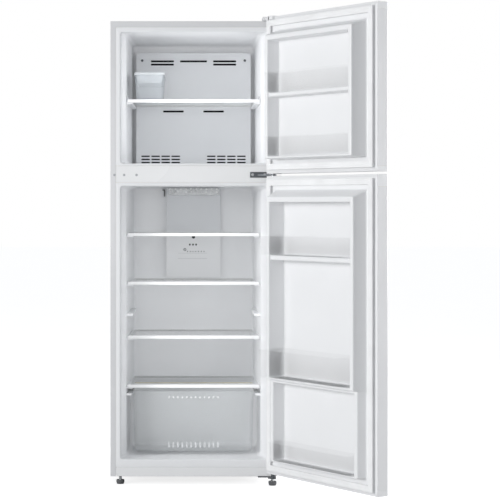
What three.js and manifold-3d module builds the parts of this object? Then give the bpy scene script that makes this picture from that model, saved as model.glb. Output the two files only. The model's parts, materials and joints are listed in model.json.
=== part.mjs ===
// Top freezer refrigerator with both doors standing open, in millimetres.
// +X is to the right of a person facing it, +Y runs from its front to its back, +Z is up.
// Everything is laid out in the cabinet's own frame (X 0 on the centre line, Y 0 on the front plane,
// Z 0 on the floor), and the whole group is then moved so that its origin is the middle of its footprint.
import * as THREE from "three";
import { mergeVertices } from "three/addons/utils/BufferGeometryUtils.js";
import Module from "manifold-3d";

const wasm = await Module();
wasm.setup();

// ---- Driving dimensions ------------------------------------------------------------------------

const GAP = 0.3; // clearance between neighbours that touch on the real object
const PAST = 6; // how far a cutter runs past the face that it cuts
const CURVE_STEPS = 5; // edges along each rounded corner of an outline
const TUBE = { tension: 0.3, steps: 24 };

// Cabinet
const HALF_WIDTH = 275;
const DEPTH = 530;
const CABINET_TOP = 1534.6;
const CABINET_BOTTOM = 28;
const STEEL = 1.5; // folded sheet of the outer case
const SIDE_LIP = 18; // front return of the case at its sides
const TOP_LIP = 20;
const LINER = 2; // wall of the moulded liners
const BACK_PANEL = 1.7;

// Compartments: half width of the opening, of the straight part behind the door seat, and of the back wall
const SEAT_DEPTH = 80;
const BACK_WALL = 470;
const FREEZER = { mouth: 241.6, straight: 226, back: 218, bottom: 1063.6, top: 1498.8 };
const FRIDGE = { mouth: 241.6, straight: 226, back: 215.5, bottom: 83.9, top: 989.1 };
const STEP = { front: 305, top: 308 }; // hump of the fridge floor over the compressor bay
const MULLION_SEAM = 1000;
const FREEZER_SEAM = 1056;
const SILL_SEAM = 58.8;

// Flanges of the liners, inside the lips of the case
const LIP_EDGE = HALF_WIDTH - SIDE_LIP;
const SIDE_REACH = DEPTH - BACK_PANEL - GAP;
const FLANGE_HALF = LIP_EDGE - GAP;

// Compressor bay behind the hump, and the steel base
const BAY = { front: 345, top: 267, sheet: 1.5 };
const BASE = { half: 273, back: 527, sheet: 2, rearTop: 64 };
const BASE_SHEET = [CABINET_BOTTOM + GAP, CABINET_BOTTOM + GAP + BASE.sheet];
const RAIL = { depth: 12, wall: 3 };

// Feet, rollers and the supply cord's gland
const LEFT_FOOT = { x: -243, y: 25 };
const RIGHT_FOOT = { x: 261, y: -8 };
const FOOT = { pad: 13.5, padTop: 14, stem: 5, stemTop: 38, hole: 5.5, recess: 7.5 };
const ROLLER = { x: 235, y: 490, radius: 14, half: 6, axle: 3, axleHalf: 11, bore: 3.4 };
const EAR = { offset: 9, half: 1, reach: 12, bottom: 6, top: 29 };
const GLAND = { x: 200, z: 46, hole: 10, collar: 13, bore: 4, front: 519, collarFront: 527.3, back: 529 };

// Shelves
const GLASS = 4;
const TRIM = { depth: 14, below: 6, above: 5, cover: 3, clear: 2 };
const SHELF_HALF = 212;
const RIB = { inner: 204, height: 8 };
const FREEZER_SHELF = { z: 1276, front: 78, back: 392, half: 222 };
const FRIDGE_SHELVES = [827, 663, 481.5];
const SPARE_RIB = 562;
const CRISPER_COVER_Z = 316.5;
const FRIDGE_SHELF = { front: 95, back: 396, half: 222 };
const FREEZER_RIB_BACK = 400;
const FRIDGE_RIB_BACK = 402;
const DRAWER_RAIL = { z: 293.7, inner: 208.5, depths: [106, 300] };

// Freezer air cover and the cooling parts behind it
const AIR_COVER = { half: 204, front: 432, foot: 424, ledge: 1133, top: 1468, wall: 2.5 };
const OUTLET_HEIGHT = 7;
const OUTLETS = [
  { x: [70, 152], z: 1438.5 },
  { x: [70, 152], z: 1427 },
  { x: [35, 108.5], z: 1259.5 },
];
const MIDDLE_OUTLET = { x: [-48, 48], z: [1435, 1442] };
const RETURNS = { x: [48, 186], count: 4, bar: 5, height: 5, rows: [1099.4, 1088.2, 1077.2] };
const COIL = { half: 172, y: [439, 465], z: [1152, 1330] };
const COIL_TUBE = { half: 188, radius: 4, y: 452, firstRow: 1166, pitch: 37 };
const HEATER = { y: 450, z: 1141, radius: 4, half: 176, end: 6.5, endHalf: 186, endStart: 172 };
const FAN = { y: 443, z: 1400, radius: 48, hub: 15, hubY: [437.5, 449], bore: 2.5, blades: 7, pitch: 0.38 };
const BLADE = { start: 8, thickness: 1.6, chord: 22 };
const MOTOR = { radius: 24, y: [452.5, 467], shaft: 2, shaftY: [444, 453] };

// Fridge air duct, lamp and temperature control
const DUCT = { half: 97, front: 440, wall: 2.5, bottom: 823, top: 988.7 };
const LAMP = { half: 92, bottom: 961, top: 986, front: 436.5 };
const CONTROL = { front: 432, bottom: 668, top: 822.7 };
const BUTTON = { z: 812, radius: 6, bore: 6.4, proud: 2.5, behind: 4.5 };

// Crisper drawer, ice bin, ice tray and drain pan
const CRISPER = {
  bottom: { z: 94, x: [-199, 199], y: [100, 284] },
  top: { z: 299, x: [-204, 204], y: [92, 290] },
  wall: 2.5,
  rim: 3,
  rimHeight: 7,
};
const RUNNER = { x: [203, 217.5], y: [95, 288], z: [292, 299] };
const ICE_BIN = {
  bottom: { z: 1282, x: [-194, -106], y: [118, 322] },
  top: { z: 1365, x: [-200, -98], y: [112, 330] },
  wall: 2,
  rim: 1.5,
  rimHeight: 3,
};
const TRAY = { bottom: 1338, flange: 9, footInset: [11, 14], topInset: [5, 8] };
const CUP = { floor: 1341, rows: 6, pitchX: 38, width: 35, taper: 4, start: [14, 17], ends: 30, webs: 2 };
const DRAIN_PAN = {
  bottom: { z: 226, x: [-128, 48], y: [362, 510] },
  top: { z: 254, x: [-134, 54], y: [356, 516] },
  wall: 2,
  rim: 2,
  rimHeight: 2.5,
};

// Compressor and its pipes
const COMPRESSOR = { x: -40, y: 436, radius: 78, base: 48, shoulder: 150, dome: 0.82, footDome: 0.22 };
const MOUNTS = { x: 84, y: 64, radius: 10, z: [30.6, 44] };
const FOOT_PLATE = { x: 98, y: 78, z: [40, 43] };
const PEDESTAL = { radius: 40, z: [42, 60], rise: 12 };
const STARTER = { inner: 12, outer: 30, half: 26, z: [92, 152] };
const DISCHARGE = {
  radius: 3,
  points: [[-119.5, 436, 110], [-150, 436, 110], [-176, 436, 128], [-180, 436, 180], [-180, 436, 264]],
};
const SUCTION = {
  radius: 4,
  points: [[-113, 400, 84], [-150, 396, 84], [-196, 388, 100], [-205, 384, 160], [-205, 384, 264]],
};

// Doors, in the door's own frame: X 0 and Y 0 on the hinge pin, closed, with +Y towards the cabinet
const PIN = { x: 262.3, y: -29.2, radius: 4, bore: 4.5 };
const OPEN_ANGLE = 125;
const DOOR = { hingeEdge: 12.7, width: 550, inner: 17.2, thickness: 44.5, corner: 6, skin: 1.2 };
const PANEL = { wall: 1.5, behind: -20, overlap: 8 };
const FREE_EDGE = DOOR.hingeEdge - DOOR.width;
const CAP_WALL = 3;
const CAP_LIP = 8; // how far a cap shows on the door's inner face
const GASKET = { inset: 12, width: 20, height: 11.2 };
const DIKE = { inset: 48, draft: 11, ridge: 15, pocketDraft: 2 };
const STEP_REACH = 29.3; // how far the step for the upper hinge runs into the freezer door's cap
const PIN_WAY = { radius: 9.5, foot: 12, head: 16 };
const BIN = { x: [-459.3, -65.3], wall: 2.2, rim: 1.5, rimHeight: 4, foot: { x: 5, back: 2, front: 6 } };
const DOORS = {
  freezer_door: {
    bottom: 1029,
    top: 1543.7,
    bottomCap: 16,
    topCap: 22,
    topStep: 12,
    dikes: [{ z: [1072, 1497], height: 55, draftZ: [5, 20] }],
    pockets: [{ z: [1083.5, 1460], floor: 24, rim: 80 }],
    ledges: [{ z: [1276, 1289.5], reach: 66 }],
    bins: {
      freezer_bin_upper: { floor: 1291, rim: 1354, back: 26, front: 93.2 },
      freezer_bin_lower: { floor: 1086, rim: 1147, back: 26, front: 93.2 },
    },
  },
  fridge_door: {
    bottom: 42.8,
    top: 1020.8,
    bottomCap: 20,
    topCap: 38,
    topStep: 0,
    dikes: [
      { z: [361, 978], height: 49, draftZ: [0, 26] },
      { z: [90, 365], height: 32, draftZ: [3, 0] },
    ],
    pockets: [
      { z: [368.5, 935], floor: 3, rim: 75 },
      { z: [97, 350], floor: 3, rim: 60 },
    ],
    ledges: [{ z: [748, 764], reach: 58 }],
    bins: {
      door_bin_upper: { floor: 766, rim: 826, back: 6, front: 117.2 },
      door_bin_middle: { floor: 371, rim: 461.5, back: 6, front: 117.2 },
      door_bin_lower: { floor: 99, rim: 160, back: 6, front: 77.2 },
    },
  },
};

// Hinges
const PLATE = 3;
const TOP_PLATE = { x: [232, 271], y: [6, 60], arm: 9.2, armBack: 10, pinBottom: 1510 };
const HINGE_COVER = { x: [229, 274], y: [-8, 64], armX: 244, armBack: -4, nose: 15, top: 1548 };
const HINGE_COVER_WALL = { side: 1.8, roof: 2.2 };
const MIDDLE_PLATE = { x: [187, 251.5], z: [1016.6, 1035.4] };
const TONGUE = { left: 208, right: [271.2, -27], nose: 9, from: 0.2, to: -2.6, z: [1022.4, 1027.4] };
const MIDDLE_PIN = [1002, 1048];
const LOWER_PLATE = { x: [213, 272], y: [-4, 60], armX: 246, nose: 9.7, pinTop: 62 };
const LOWER_COLLAR = { radius: 7, top: 42.3 };

// ---- Solids ------------------------------------------------------------------------------------

/** A closed geometry as a solid that can be joined and cut, whichever way its faces were wound. */
function solid(geometry) {
  const bare = new THREE.BufferGeometry();
  const flat = geometry.index ? geometry.toNonIndexed() : geometry;
  bare.setAttribute("position", flat.getAttribute("position"));
  const merged = mergeVertices(bare, 1e-3);
  const build = (triVerts) =>
    new wasm.Manifold(
      new wasm.Mesh({ numProp: 3, vertProperties: merged.attributes.position.array, triVerts }),
    );
  const faces = new Uint32Array(merged.index.array);
  const made = build(faces);
  return made.volume() > 0 ? made : build(faces.slice().reverse());
}

/** A solid's faces as a geometry for a mesh. */
function geometryOf(body) {
  const { vertProperties, triVerts } = body.getMesh();
  const geometry = new THREE.BufferGeometry();
  geometry.setAttribute("position", new THREE.BufferAttribute(new Float32Array(vertProperties), 3));
  geometry.setIndex(new THREE.BufferAttribute(new Uint32Array(triVerts), 1));
  geometry.computeVertexNormals();
  return geometry;
}

/** The first solid with the others joined to it. */
function join(first, ...others) {
  return others.reduce((whole, other) => whole.add(other), first);
}

/** The first solid with the others cut out of it. */
function cut(first, ...others) {
  return others.reduce((whole, other) => whole.subtract(other), first);
}

/** A block between two X, two Y and two Z values. */
function block([x0, x1], [y0, y1], [z0, z1]) {
  const geometry = new THREE.BoxGeometry(x1 - x0, y1 - y0, z1 - z0);
  return solid(geometry.translate((x0 + x1) / 2, (y0 + y1) / 2, (z0 + z1) / 2));
}

/** A round rod along "x", "y" or "z" whose axis passes through a point, between two values on that axis. */
function rod(axis, radius, [x, y, z], [from, to], sides = 24) {
  const geometry = new THREE.CylinderGeometry(radius, radius, to - from, sides);
  const middle = (from + to) / 2;
  if (axis === "x") geometry.rotateZ(Math.PI / 2).translate(middle, y, z);
  if (axis === "y") geometry.translate(x, middle, z);
  if (axis === "z") geometry.rotateX(Math.PI / 2).translate(x, y, middle);
  return solid(geometry);
}

/** A closed skin over rings of points that all have the same count, flat at both ends. */
function loft(rings) {
  const count = rings[0].length;
  const corner = (ring, i) => ring[i % count];
  const positions = [];
  const face = (...points) => points.forEach((point) => positions.push(...point));
  for (let r = 1; r < rings.length; r += 1) {
    const [low, high] = [rings[r - 1], rings[r]];
    for (let i = 0; i < count; i += 1) {
      face(corner(low, i), corner(high, i), corner(high, i + 1));
      face(corner(low, i), corner(high, i + 1), corner(low, i + 1));
    }
  }
  const last = rings[rings.length - 1];
  for (let i = 2; i < count; i += 1) {
    face(rings[0][0], rings[0][i - 1], rings[0][i]);
    face(last[0], last[i], last[i - 1]);
  }
  const geometry = new THREE.BufferGeometry();
  geometry.setAttribute("position", new THREE.BufferAttribute(new Float32Array(positions), 3));
  return solid(geometry);
}

/** A ring across the depth: a rectangle in X and Z at one Y. */
function uprightRing(y, [x0, x1], [z0, z1]) {
  return [[x0, y, z0], [x1, y, z0], [x1, y, z1], [x0, y, z1]];
}

/** A level ring: a rectangle in X and Y at one Z. */
function levelRing(z, [x0, x1], [y0, y1]) {
  return [[x0, y0, z], [x1, y0, z], [x1, y1, z], [x0, y1, z]];
}

/** A flat outline in X and Y, raised between two heights. */
function slab(outline, [z0, z1]) {
  const options = { depth: z1 - z0, bevelEnabled: false, curveSegments: CURVE_STEPS };
  const geometry = new THREE.ExtrudeGeometry(outline, options);
  return solid(geometry.translate(0, 0, z0));
}

/** A round tube along a smooth curve through points. */
function tube(points, radius) {
  const stations = points.map((point) => new THREE.Vector3(...point));
  const path = new THREE.CatmullRomCurve3(stations, false, "catmullrom", TUBE.tension);
  const section = new THREE.Shape().absarc(0, 0, radius, 0, Math.PI * 2);
  const options = { extrudePath: path, steps: TUBE.steps, curveSegments: CURVE_STEPS };
  return solid(new THREE.ExtrudeGeometry(section, options));
}

/** An open box: outer rings from its bottom to its rim, a rim flange that stands out, and a hollow. */
function tub({ bottom, top, wall, rim, rimHeight }) {
  const outer = loft([levelRing(bottom.z, bottom.x, bottom.y), levelRing(top.z, top.x, top.y)]);
  const grow = ([a, b], by) => [a - by, b + by];
  const flange = block(grow(top.x, rim), grow(top.y, rim), [top.z - rimHeight, top.z]);
  const hollow = loft([
    levelRing(bottom.z + wall, grow(bottom.x, -wall), grow(bottom.y, -wall)),
    levelRing(top.z, grow(top.x, -wall), grow(top.y, -wall)),
    levelRing(top.z + PAST, grow(top.x, -wall), grow(top.y, -wall)),
  ]);
  return cut(join(outer, flange), hollow);
}

// ---- Materials ---------------------------------------------------------------------------------

const finish = (color, roughness, metalness, opacity = 1) =>
  new THREE.MeshStandardMaterial({ color, roughness, metalness, opacity, transparent: opacity < 1 });

const PAINTED_STEEL = finish(0xdfe2e5, 0.42, 0.1);
const GALVANISED = finish(0xa9adb1, 0.5, 0.8);
const LINER_PLASTIC = finish(0xe9ebee, 0.38, 0);
const TRIM_PLASTIC = finish(0xf2f3f5, 0.34, 0);
const COVER_PLASTIC = finish(0xc9cdd1, 0.5, 0);
const CLEAR_PLASTIC = finish(0xd6dde1, 0.12, 0, 0.45);
const GLASS_SHEET = finish(0xd3dedd, 0.05, 0, 0.35);
const GASKET_RUBBER = finish(0xc6c8cc, 0.7, 0);
const DARK_PLASTIC = finish(0x2b2d30, 0.55, 0);
const HINGE_STEEL = finish(0x4b4e52, 0.4, 0.8);
const COMPRESSOR_PAINT = finish(0x1c1d1f, 0.45, 0.3);
const ALUMINIUM = finish(0xb9bcbf, 0.35, 0.9);
const COPPER = finish(0xb87350, 0.35, 0.9);
const FOAM = finish(0xe8d9a8, 0.9, 0);

const fridge = new THREE.Group();
fridge.name = "top_freezer_refrigerator";

/** Adds a named piece to a group. */
function piece(group, name, body, material) {
  const mesh = new THREE.Mesh(geometryOf(body), material);
  mesh.name = name;
  group.add(mesh);
}

// ---- Cabinet shell -----------------------------------------------------------------------------

/** Both sides, the top and the returned front lip, folded from one sheet. */
function outerCase() {
  const heights = [CABINET_BOTTOM, CABINET_TOP];
  const depths = [0, SIDE_REACH];
  return join(
    block([-HALF_WIDTH, HALF_WIDTH], depths, [CABINET_TOP - STEEL, CABINET_TOP]),
    block([-HALF_WIDTH, STEEL - HALF_WIDTH], depths, heights),
    block([HALF_WIDTH - STEEL, HALF_WIDTH], depths, heights),
    block([-HALF_WIDTH, -LIP_EDGE], [0, STEEL], heights),
    block([LIP_EDGE, HALF_WIDTH], [0, STEEL], heights),
    block([-HALF_WIDTH, HALF_WIDTH], [0, STEEL], [CABINET_TOP - TOP_LIP, CABINET_TOP]),
  );
}

/** The space inside a compartment, or the liner's outside when it is grown. */
function compartment({ mouth, straight, back, bottom, top }, grown, start) {
  const heights = [bottom - grown, top + grown];
  const across = (half) => [-half - grown, half + grown];
  const rings = [
    uprightRing(0, across(mouth), heights),
    uprightRing(SEAT_DEPTH, across(straight), heights),
    uprightRing(BACK_WALL + grown, across(back), heights),
  ];
  if (start < 0) rings.unshift(uprightRing(start, across(mouth), heights));
  return loft(rings);
}

/** The fridge compartment, with the hump at the back of its floor left out. */
function fridgeSpace(grown, start) {
  const hump = block(
    [-HALF_WIDTH, HALF_WIDTH],
    [STEP.front + grown, DEPTH],
    [0, STEP.top - grown],
  );
  return cut(compartment(FRIDGE, grown, start), hump);
}

/** A pair of ribs that carry a shelf whose middle is at one height. */
function shelfRibs(z, [front, back], inner = RIB.inner) {
  const top = z - GLASS / 2 - GAP;
  return [-1, 1].map((side) => {
    const ends = [side * inner, side * HALF_WIDTH].sort((a, b) => a - b);
    return block(ends, [front, back], [top - RIB.height, top]);
  });
}

/** Where a shelf's ribs start, just behind its trim. */
function ribStart(shelf) {
  return shelf.front + TRIM.depth + TRIM.clear;
}

function freezerLiner() {
  const outside = compartment(FREEZER, LINER, 0);
  const heights = [FREEZER_SEAM, CABINET_TOP - TOP_LIP - GAP];
  const flange = block([-FLANGE_HALF, FLANGE_HALF], [0, LINER], heights);
  const shell = cut(join(outside, flange), compartment(FREEZER, 0, -PAST));
  const ribs = shelfRibs(FREEZER_SHELF.z, [ribStart(FREEZER_SHELF), FREEZER_RIB_BACK]);
  return join(shell, ...ribs.map((rib) => rib.intersect(outside)));
}

function fridgeLiner() {
  const outside = fridgeSpace(LINER, 0);
  const flange = block([-FLANGE_HALF, FLANGE_HALF], [0, LINER], [SILL_SEAM, MULLION_SEAM]);
  const shell = cut(join(outside, flange), fridgeSpace(0, -PAST));
  const levels = [...FRIDGE_SHELVES, SPARE_RIB, CRISPER_COVER_Z];
  const ribs = levels.flatMap((z) => shelfRibs(z, [ribStart(FRIDGE_SHELF), FRIDGE_RIB_BACK]));
  const rails = shelfRibs(DRAWER_RAIL.z, DRAWER_RAIL.depths, DRAWER_RAIL.inner);
  return join(shell, ...[...ribs, ...rails].map((rib) => rib.intersect(outside)));
}

/** The steel base: its floor, the walls of the compressor bay, and the ears and axles of the rollers. */
function baseFrame() {
  const width = [-BASE.half, BASE.half];
  const ears = [-1, 1].flatMap((side) => {
    const middle = side * ROLLER.x;
    const depths = [ROLLER.y - EAR.reach, ROLLER.y + EAR.reach];
    const plates = [-1, 1].map((end) => {
      const plate = middle + end * EAR.offset;
      return block([plate - EAR.half, plate + EAR.half], depths, [EAR.bottom, EAR.top]);
    });
    const ends = [middle - ROLLER.axleHalf, middle + ROLLER.axleHalf];
    return [...plates, rod("x", ROLLER.axle, [0, ROLLER.y, ROLLER.radius], ends)];
  });
  const sheets = join(
    block(width, [RAIL.depth + GAP, BASE.back], BASE_SHEET),
    block(width, [BAY.front, BAY.front + BAY.sheet], [BASE_SHEET[0], BAY.top]),
    block(width, [BAY.front, SIDE_REACH], [BAY.top - BAY.sheet, BAY.top]),
    block(width, [BASE.back - BAY.sheet, BASE.back], [BASE_SHEET[0], BASE.rearTop]),
    ...ears,
  );
  return cut(
    sheets,
    rod("z", FOOT.hole, [LEFT_FOOT.x, LEFT_FOOT.y, 0], [CABINET_BOTTOM - PAST, CABINET_BOTTOM + PAST]),
    rod("y", GLAND.hole, [GLAND.x, 0, GLAND.z], [GLAND.front, DEPTH + PAST]),
  );
}

/** Foamed insulation: everything between the case, the liners and the base. */
function cabinetFoam() {
  const inside = HALF_WIDTH - STEEL - GAP;
  const whole = block(
    [-inside, inside],
    [LINER + GAP, DEPTH - BACK_PANEL - 2 * GAP],
    [BASE_SHEET[1] + GAP, CABINET_TOP - STEEL - GAP],
  );
  return cut(
    whole,
    compartment(FREEZER, LINER + GAP, -PAST),
    fridgeSpace(LINER + GAP, -PAST),
    block([-HALF_WIDTH, HALF_WIDTH], [BAY.front - GAP, DEPTH + PAST], [0, BAY.top + GAP]),
    block([-HALF_WIDTH, HALF_WIDTH], [-PAST, RAIL.depth + GAP], [0, SILL_SEAM + GAP]),
    rod("z", FOOT.recess, [LEFT_FOOT.x, LEFT_FOOT.y, 0], [CABINET_BOTTOM - PAST, FOOT.stemTop + 4]),
  );
}

/** The strip between the two compartments' flanges. */
function mullionCover() {
  return block([-FLANGE_HALF, FLANGE_HALF], [0, LINER], [MULLION_SEAM + GAP, FREEZER_SEAM - GAP]);
}

/** The lower rail under the sill, a channel that is open at its back. */
function frontRail() {
  const bottom = CABINET_BOTTOM;
  const top = SILL_SEAM - GAP;
  return cut(
    block([-FLANGE_HALF, FLANGE_HALF], [0, RAIL.depth], [bottom, top]),
    block(
      [RAIL.wall - FLANGE_HALF, FLANGE_HALF - RAIL.wall],
      [RAIL.wall, RAIL.depth + PAST],
      [bottom + RAIL.wall, top - RAIL.wall],
    ),
  );
}

piece(fridge, "outer_case", outerCase(), PAINTED_STEEL);
piece(
  fridge,
  "back_panel",
  block([-HALF_WIDTH, HALF_WIDTH], [DEPTH - BACK_PANEL, DEPTH], [BAY.top + 3, CABINET_TOP]),
  PAINTED_STEEL,
);
piece(fridge, "base_frame", baseFrame(), GALVANISED);
piece(fridge, "cabinet_foam", cabinetFoam(), FOAM);
piece(fridge, "freezer_liner", freezerLiner(), LINER_PLASTIC);
piece(fridge, "fridge_liner", fridgeLiner(), LINER_PLASTIC);
piece(fridge, "mullion_cover", mullionCover(), TRIM_PLASTIC);
piece(fridge, "front_rail", frontRail(), TRIM_PLASTIC);

// ---- Feet and rollers --------------------------------------------------------------------------

for (const [name, { x, y }] of Object.entries({ left_foot: LEFT_FOOT, right_foot: RIGHT_FOOT })) {
  const pad = rod("z", FOOT.pad, [x, y, 0], [0, FOOT.padTop]);
  const stem = rod("z", FOOT.stem, [x, y, 0], [FOOT.padTop, FOOT.stemTop], 16);
  piece(fridge, name, join(pad, stem), DARK_PLASTIC);
}

for (const [name, side] of Object.entries({ left_roller: -1, right_roller: 1 })) {
  const ends = [side * ROLLER.x - ROLLER.half, side * ROLLER.x + ROLLER.half];
  const centre = [0, ROLLER.y, ROLLER.radius];
  const past = [ends[0] - PAST, ends[1] + PAST];
  const wheel = rod("x", ROLLER.radius, centre, ends, 32);
  piece(fridge, name, cut(wheel, rod("x", ROLLER.bore, centre, past)), DARK_PLASTIC);
}

// ---- Freezer air cover and the cooling parts behind it -----------------------------------------

/** A row of equal slots between two X values, mirrored on the other side. */
function mirroredSlots([from, to], count, bar, z, height) {
  const pitch = (to - from + bar) / count;
  const depths = [AIR_COVER.foot - PAST, AIR_COVER.front + PAST];
  const slots = [];
  for (let i = 0; i < count; i += 1) {
    const start = from + i * pitch;
    const ends = [start, start + pitch - bar];
    for (const x of [ends, [-ends[1], -ends[0]]]) {
      slots.push(block(x, depths, [z - height / 2, z + height / 2]));
    }
  }
  return slots;
}

/** The freezer's back cover: outlets near its top and middle, and a return grille along its foot. */
function airCover() {
  const { half, front, foot, ledge, top, wall } = AIR_COVER;
  const bottom = FREEZER.bottom + GAP;
  const back = BACK_WALL - GAP;
  const outside = join(
    block([-half, half], [front, back], [bottom, top]),
    block([-half, half], [foot, back], [bottom, ledge]),
  );
  const inside = join(
    block([wall - half, half - wall], [front + wall, back + PAST], [bottom + wall, top - wall]),
    block([wall - half, half - wall], [foot + wall, back + PAST], [bottom + wall, ledge - wall]),
  );
  const outlets = OUTLETS.flatMap(({ x, z }) => mirroredSlots(x, 1, 0, z, OUTLET_HEIGHT));
  const middleOutlet = block(MIDDLE_OUTLET.x, [front - PAST, front + PAST], MIDDLE_OUTLET.z);
  const returns = RETURNS.rows.flatMap((z) =>
    mirroredSlots(RETURNS.x, RETURNS.count, RETURNS.bar, z, RETURNS.height),
  );
  return cut(outside, inside, ...outlets, middleOutlet, ...returns);
}

/** The finned block of the evaporator, with its tube runs standing out at both ends. */
function evaporatorCoil() {
  const runs = [0, 1, 2, 3, 4].map((row) => {
    const centre = [0, COIL_TUBE.y, COIL_TUBE.firstRow + row * COIL_TUBE.pitch];
    return rod("x", COIL_TUBE.radius, centre, [-COIL_TUBE.half, COIL_TUBE.half], 12);
  });
  return join(block([-COIL.half, COIL.half], COIL.y, COIL.z), ...runs);
}

function defrostHeater() {
  const centre = [0, HEATER.y, HEATER.z];
  return join(
    rod("x", HEATER.radius, centre, [-HEATER.half, HEATER.half], 12),
    rod("x", HEATER.end, centre, [-HEATER.endHalf, -HEATER.endStart], 12),
    rod("x", HEATER.end, centre, [HEATER.endStart, HEATER.endHalf], 12),
  );
}

/** The fan: a hub with a blind bore and blades set at an angle. */
function evaporatorFan() {
  const centre = [0, 0, FAN.z];
  const reach = FAN.radius - BLADE.start;
  const blades = [];
  for (let i = 0; i < FAN.blades; i += 1) {
    const blade = new THREE.BoxGeometry(reach, BLADE.thickness, BLADE.chord);
    blade.translate(BLADE.start + reach / 2, 0, 0).rotateX(FAN.pitch);
    blade.rotateY((i * 2 * Math.PI) / FAN.blades).translate(0, FAN.y, FAN.z);
    blades.push(solid(blade));
  }
  const hub = rod("y", FAN.hub, centre, FAN.hubY);
  const bore = rod("y", FAN.bore, centre, [FAN.y, FAN.hubY[1] + PAST], 12);
  return cut(join(hub, ...blades), bore);
}

function fanMotor() {
  const centre = [0, 0, FAN.z];
  const shaft = rod("y", MOTOR.shaft, centre, MOTOR.shaftY, 12);
  return join(rod("y", MOTOR.radius, centre, MOTOR.y), shaft);
}

piece(fridge, "freezer_air_cover", airCover(), COVER_PLASTIC);
piece(fridge, "evaporator_coil", evaporatorCoil(), ALUMINIUM);
piece(fridge, "defrost_heater", defrostHeater(), ALUMINIUM);
piece(fridge, "fan_motor", fanMotor(), DARK_PLASTIC);
piece(fridge, "evaporator_fan", evaporatorFan(), COVER_PLASTIC);

// ---- Fridge air duct, lamp and temperature control ---------------------------------------------

/** A shallow box that is open at its back, standing on the compartment's back wall. */
function wallBox(half, front, wall, [bottom, top]) {
  const back = BACK_WALL - GAP;
  return cut(
    block([-half, half], [front, back], [bottom, top]),
    block([wall - half, half - wall], [front + wall, back + PAST], [bottom + wall, top - wall]),
  );
}

const controlBox = wallBox(DUCT.half, CONTROL.front, DUCT.wall, [CONTROL.bottom, CONTROL.top]);
const buttonAxis = [0, 0, BUTTON.z];
const ductBox = wallBox(DUCT.half, DUCT.front, DUCT.wall, [DUCT.bottom, DUCT.top]);
piece(fridge, "duct_cover", ductBox, COVER_PLASTIC);
piece(
  fridge,
  "lamp_lens",
  block([-LAMP.half, LAMP.half], [LAMP.front, DUCT.front - GAP], [LAMP.bottom, LAMP.top]),
  CLEAR_PLASTIC,
);
piece(
  fridge,
  "control_housing",
  cut(controlBox, rod("y", BUTTON.bore, buttonAxis, [CONTROL.front - PAST, CONTROL.front + PAST])),
  LINER_PLASTIC,
);
piece(
  fridge,
  "control_button",
  rod("y", BUTTON.radius, buttonAxis, [CONTROL.front - BUTTON.proud, CONTROL.front + BUTTON.behind]),
  DARK_PLASTIC,
);

// ---- Shelves, crisper and ice bin --------------------------------------------------------------

/** A clear sheet and the white trim along its front edge. */
function addShelf(names, shelf, z, material) {
  const { front, back, half } = shelf;
  const sheetFront = front + TRIM.cover + GAP;
  const sheet = block([-SHELF_HALF, SHELF_HALF], [sheetFront, back], [z - GLASS / 2, z + GLASS / 2]);
  const slotHalf = SHELF_HALF + GAP;
  const slot = block(
    [-slotHalf, slotHalf],
    [front + TRIM.cover, front + TRIM.depth + PAST],
    [z - GLASS / 2 - GAP, z + GLASS / 2 + GAP],
  );
  const bar = block([-half, half], [front, front + TRIM.depth], [z - TRIM.below, z + TRIM.above]);
  piece(fridge, names.sheet, sheet, material);
  piece(fridge, names.trim, cut(bar, slot), TRIM_PLASTIC);
}

const freezerShelf = { sheet: "freezer_shelf", trim: "freezer_shelf_trim" };
addShelf(freezerShelf, FREEZER_SHELF, FREEZER_SHELF.z, CLEAR_PLASTIC);
FRIDGE_SHELVES.forEach((z, i) => {
  const names = { sheet: `glass_shelf_${i + 1}`, trim: `shelf_trim_${i + 1}` };
  addShelf(names, FRIDGE_SHELF, z, GLASS_SHEET);
});
const crisperCover = { sheet: "crisper_cover", trim: "crisper_cover_trim" };
addShelf(crisperCover, FRIDGE_SHELF, CRISPER_COVER_Z, GLASS_SHEET);

const runners = [
  block(RUNNER.x, RUNNER.y, RUNNER.z),
  block([-RUNNER.x[1], -RUNNER.x[0]], RUNNER.y, RUNNER.z),
];
piece(fridge, "crisper_drawer", join(tub(CRISPER), ...runners), CLEAR_PLASTIC);

piece(fridge, "ice_bin", tub(ICE_BIN), CLEAR_PLASTIC);

/** The ice tray that rests on the bin's rim, with two rows of cube cups. */
function iceTray() {
  const [x0, x1] = ICE_BIN.top.x;
  const [y0, y1] = ICE_BIN.top.y;
  const top = ICE_BIN.top.z + TRAY.flange;
  const flange = block([x0, x1], [y0, y1], [ICE_BIN.top.z + GAP, top]);
  const inside = (z, [across, along]) =>
    levelRing(z, [x0 + across, x1 - across], [y0 + along, y1 - along]);
  const body = loft([inside(TRAY.bottom, TRAY.footInset), inside(ICE_BIN.top.z + 1, TRAY.topInset)]);
  const cups = [];
  const pitch = (y1 - y0 - CUP.ends) / CUP.rows;
  for (let row = 0; row < CUP.rows; row += 1) {
    for (const side of [0, 1]) {
      const left = x0 + CUP.start[0] + side * CUP.pitchX;
      const right = left + CUP.width;
      const front = y0 + CUP.start[1] + row * pitch;
      const back = front + pitch - CUP.webs;
      const taper = CUP.taper;
      const floor = levelRing(CUP.floor, [left + taper, right - taper], [front + taper, back - taper]);
      cups.push(loft([floor, levelRing(top + 1, [left, right], [front, back])]));
    }
  }
  return cut(join(flange, body), ...cups);
}
piece(fridge, "ice_tray", iceTray(), TRIM_PLASTIC);

// ---- Hinges ------------------------------------------------------------------------------------

const pinAxis = [PIN.x, PIN.y, 0];

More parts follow.
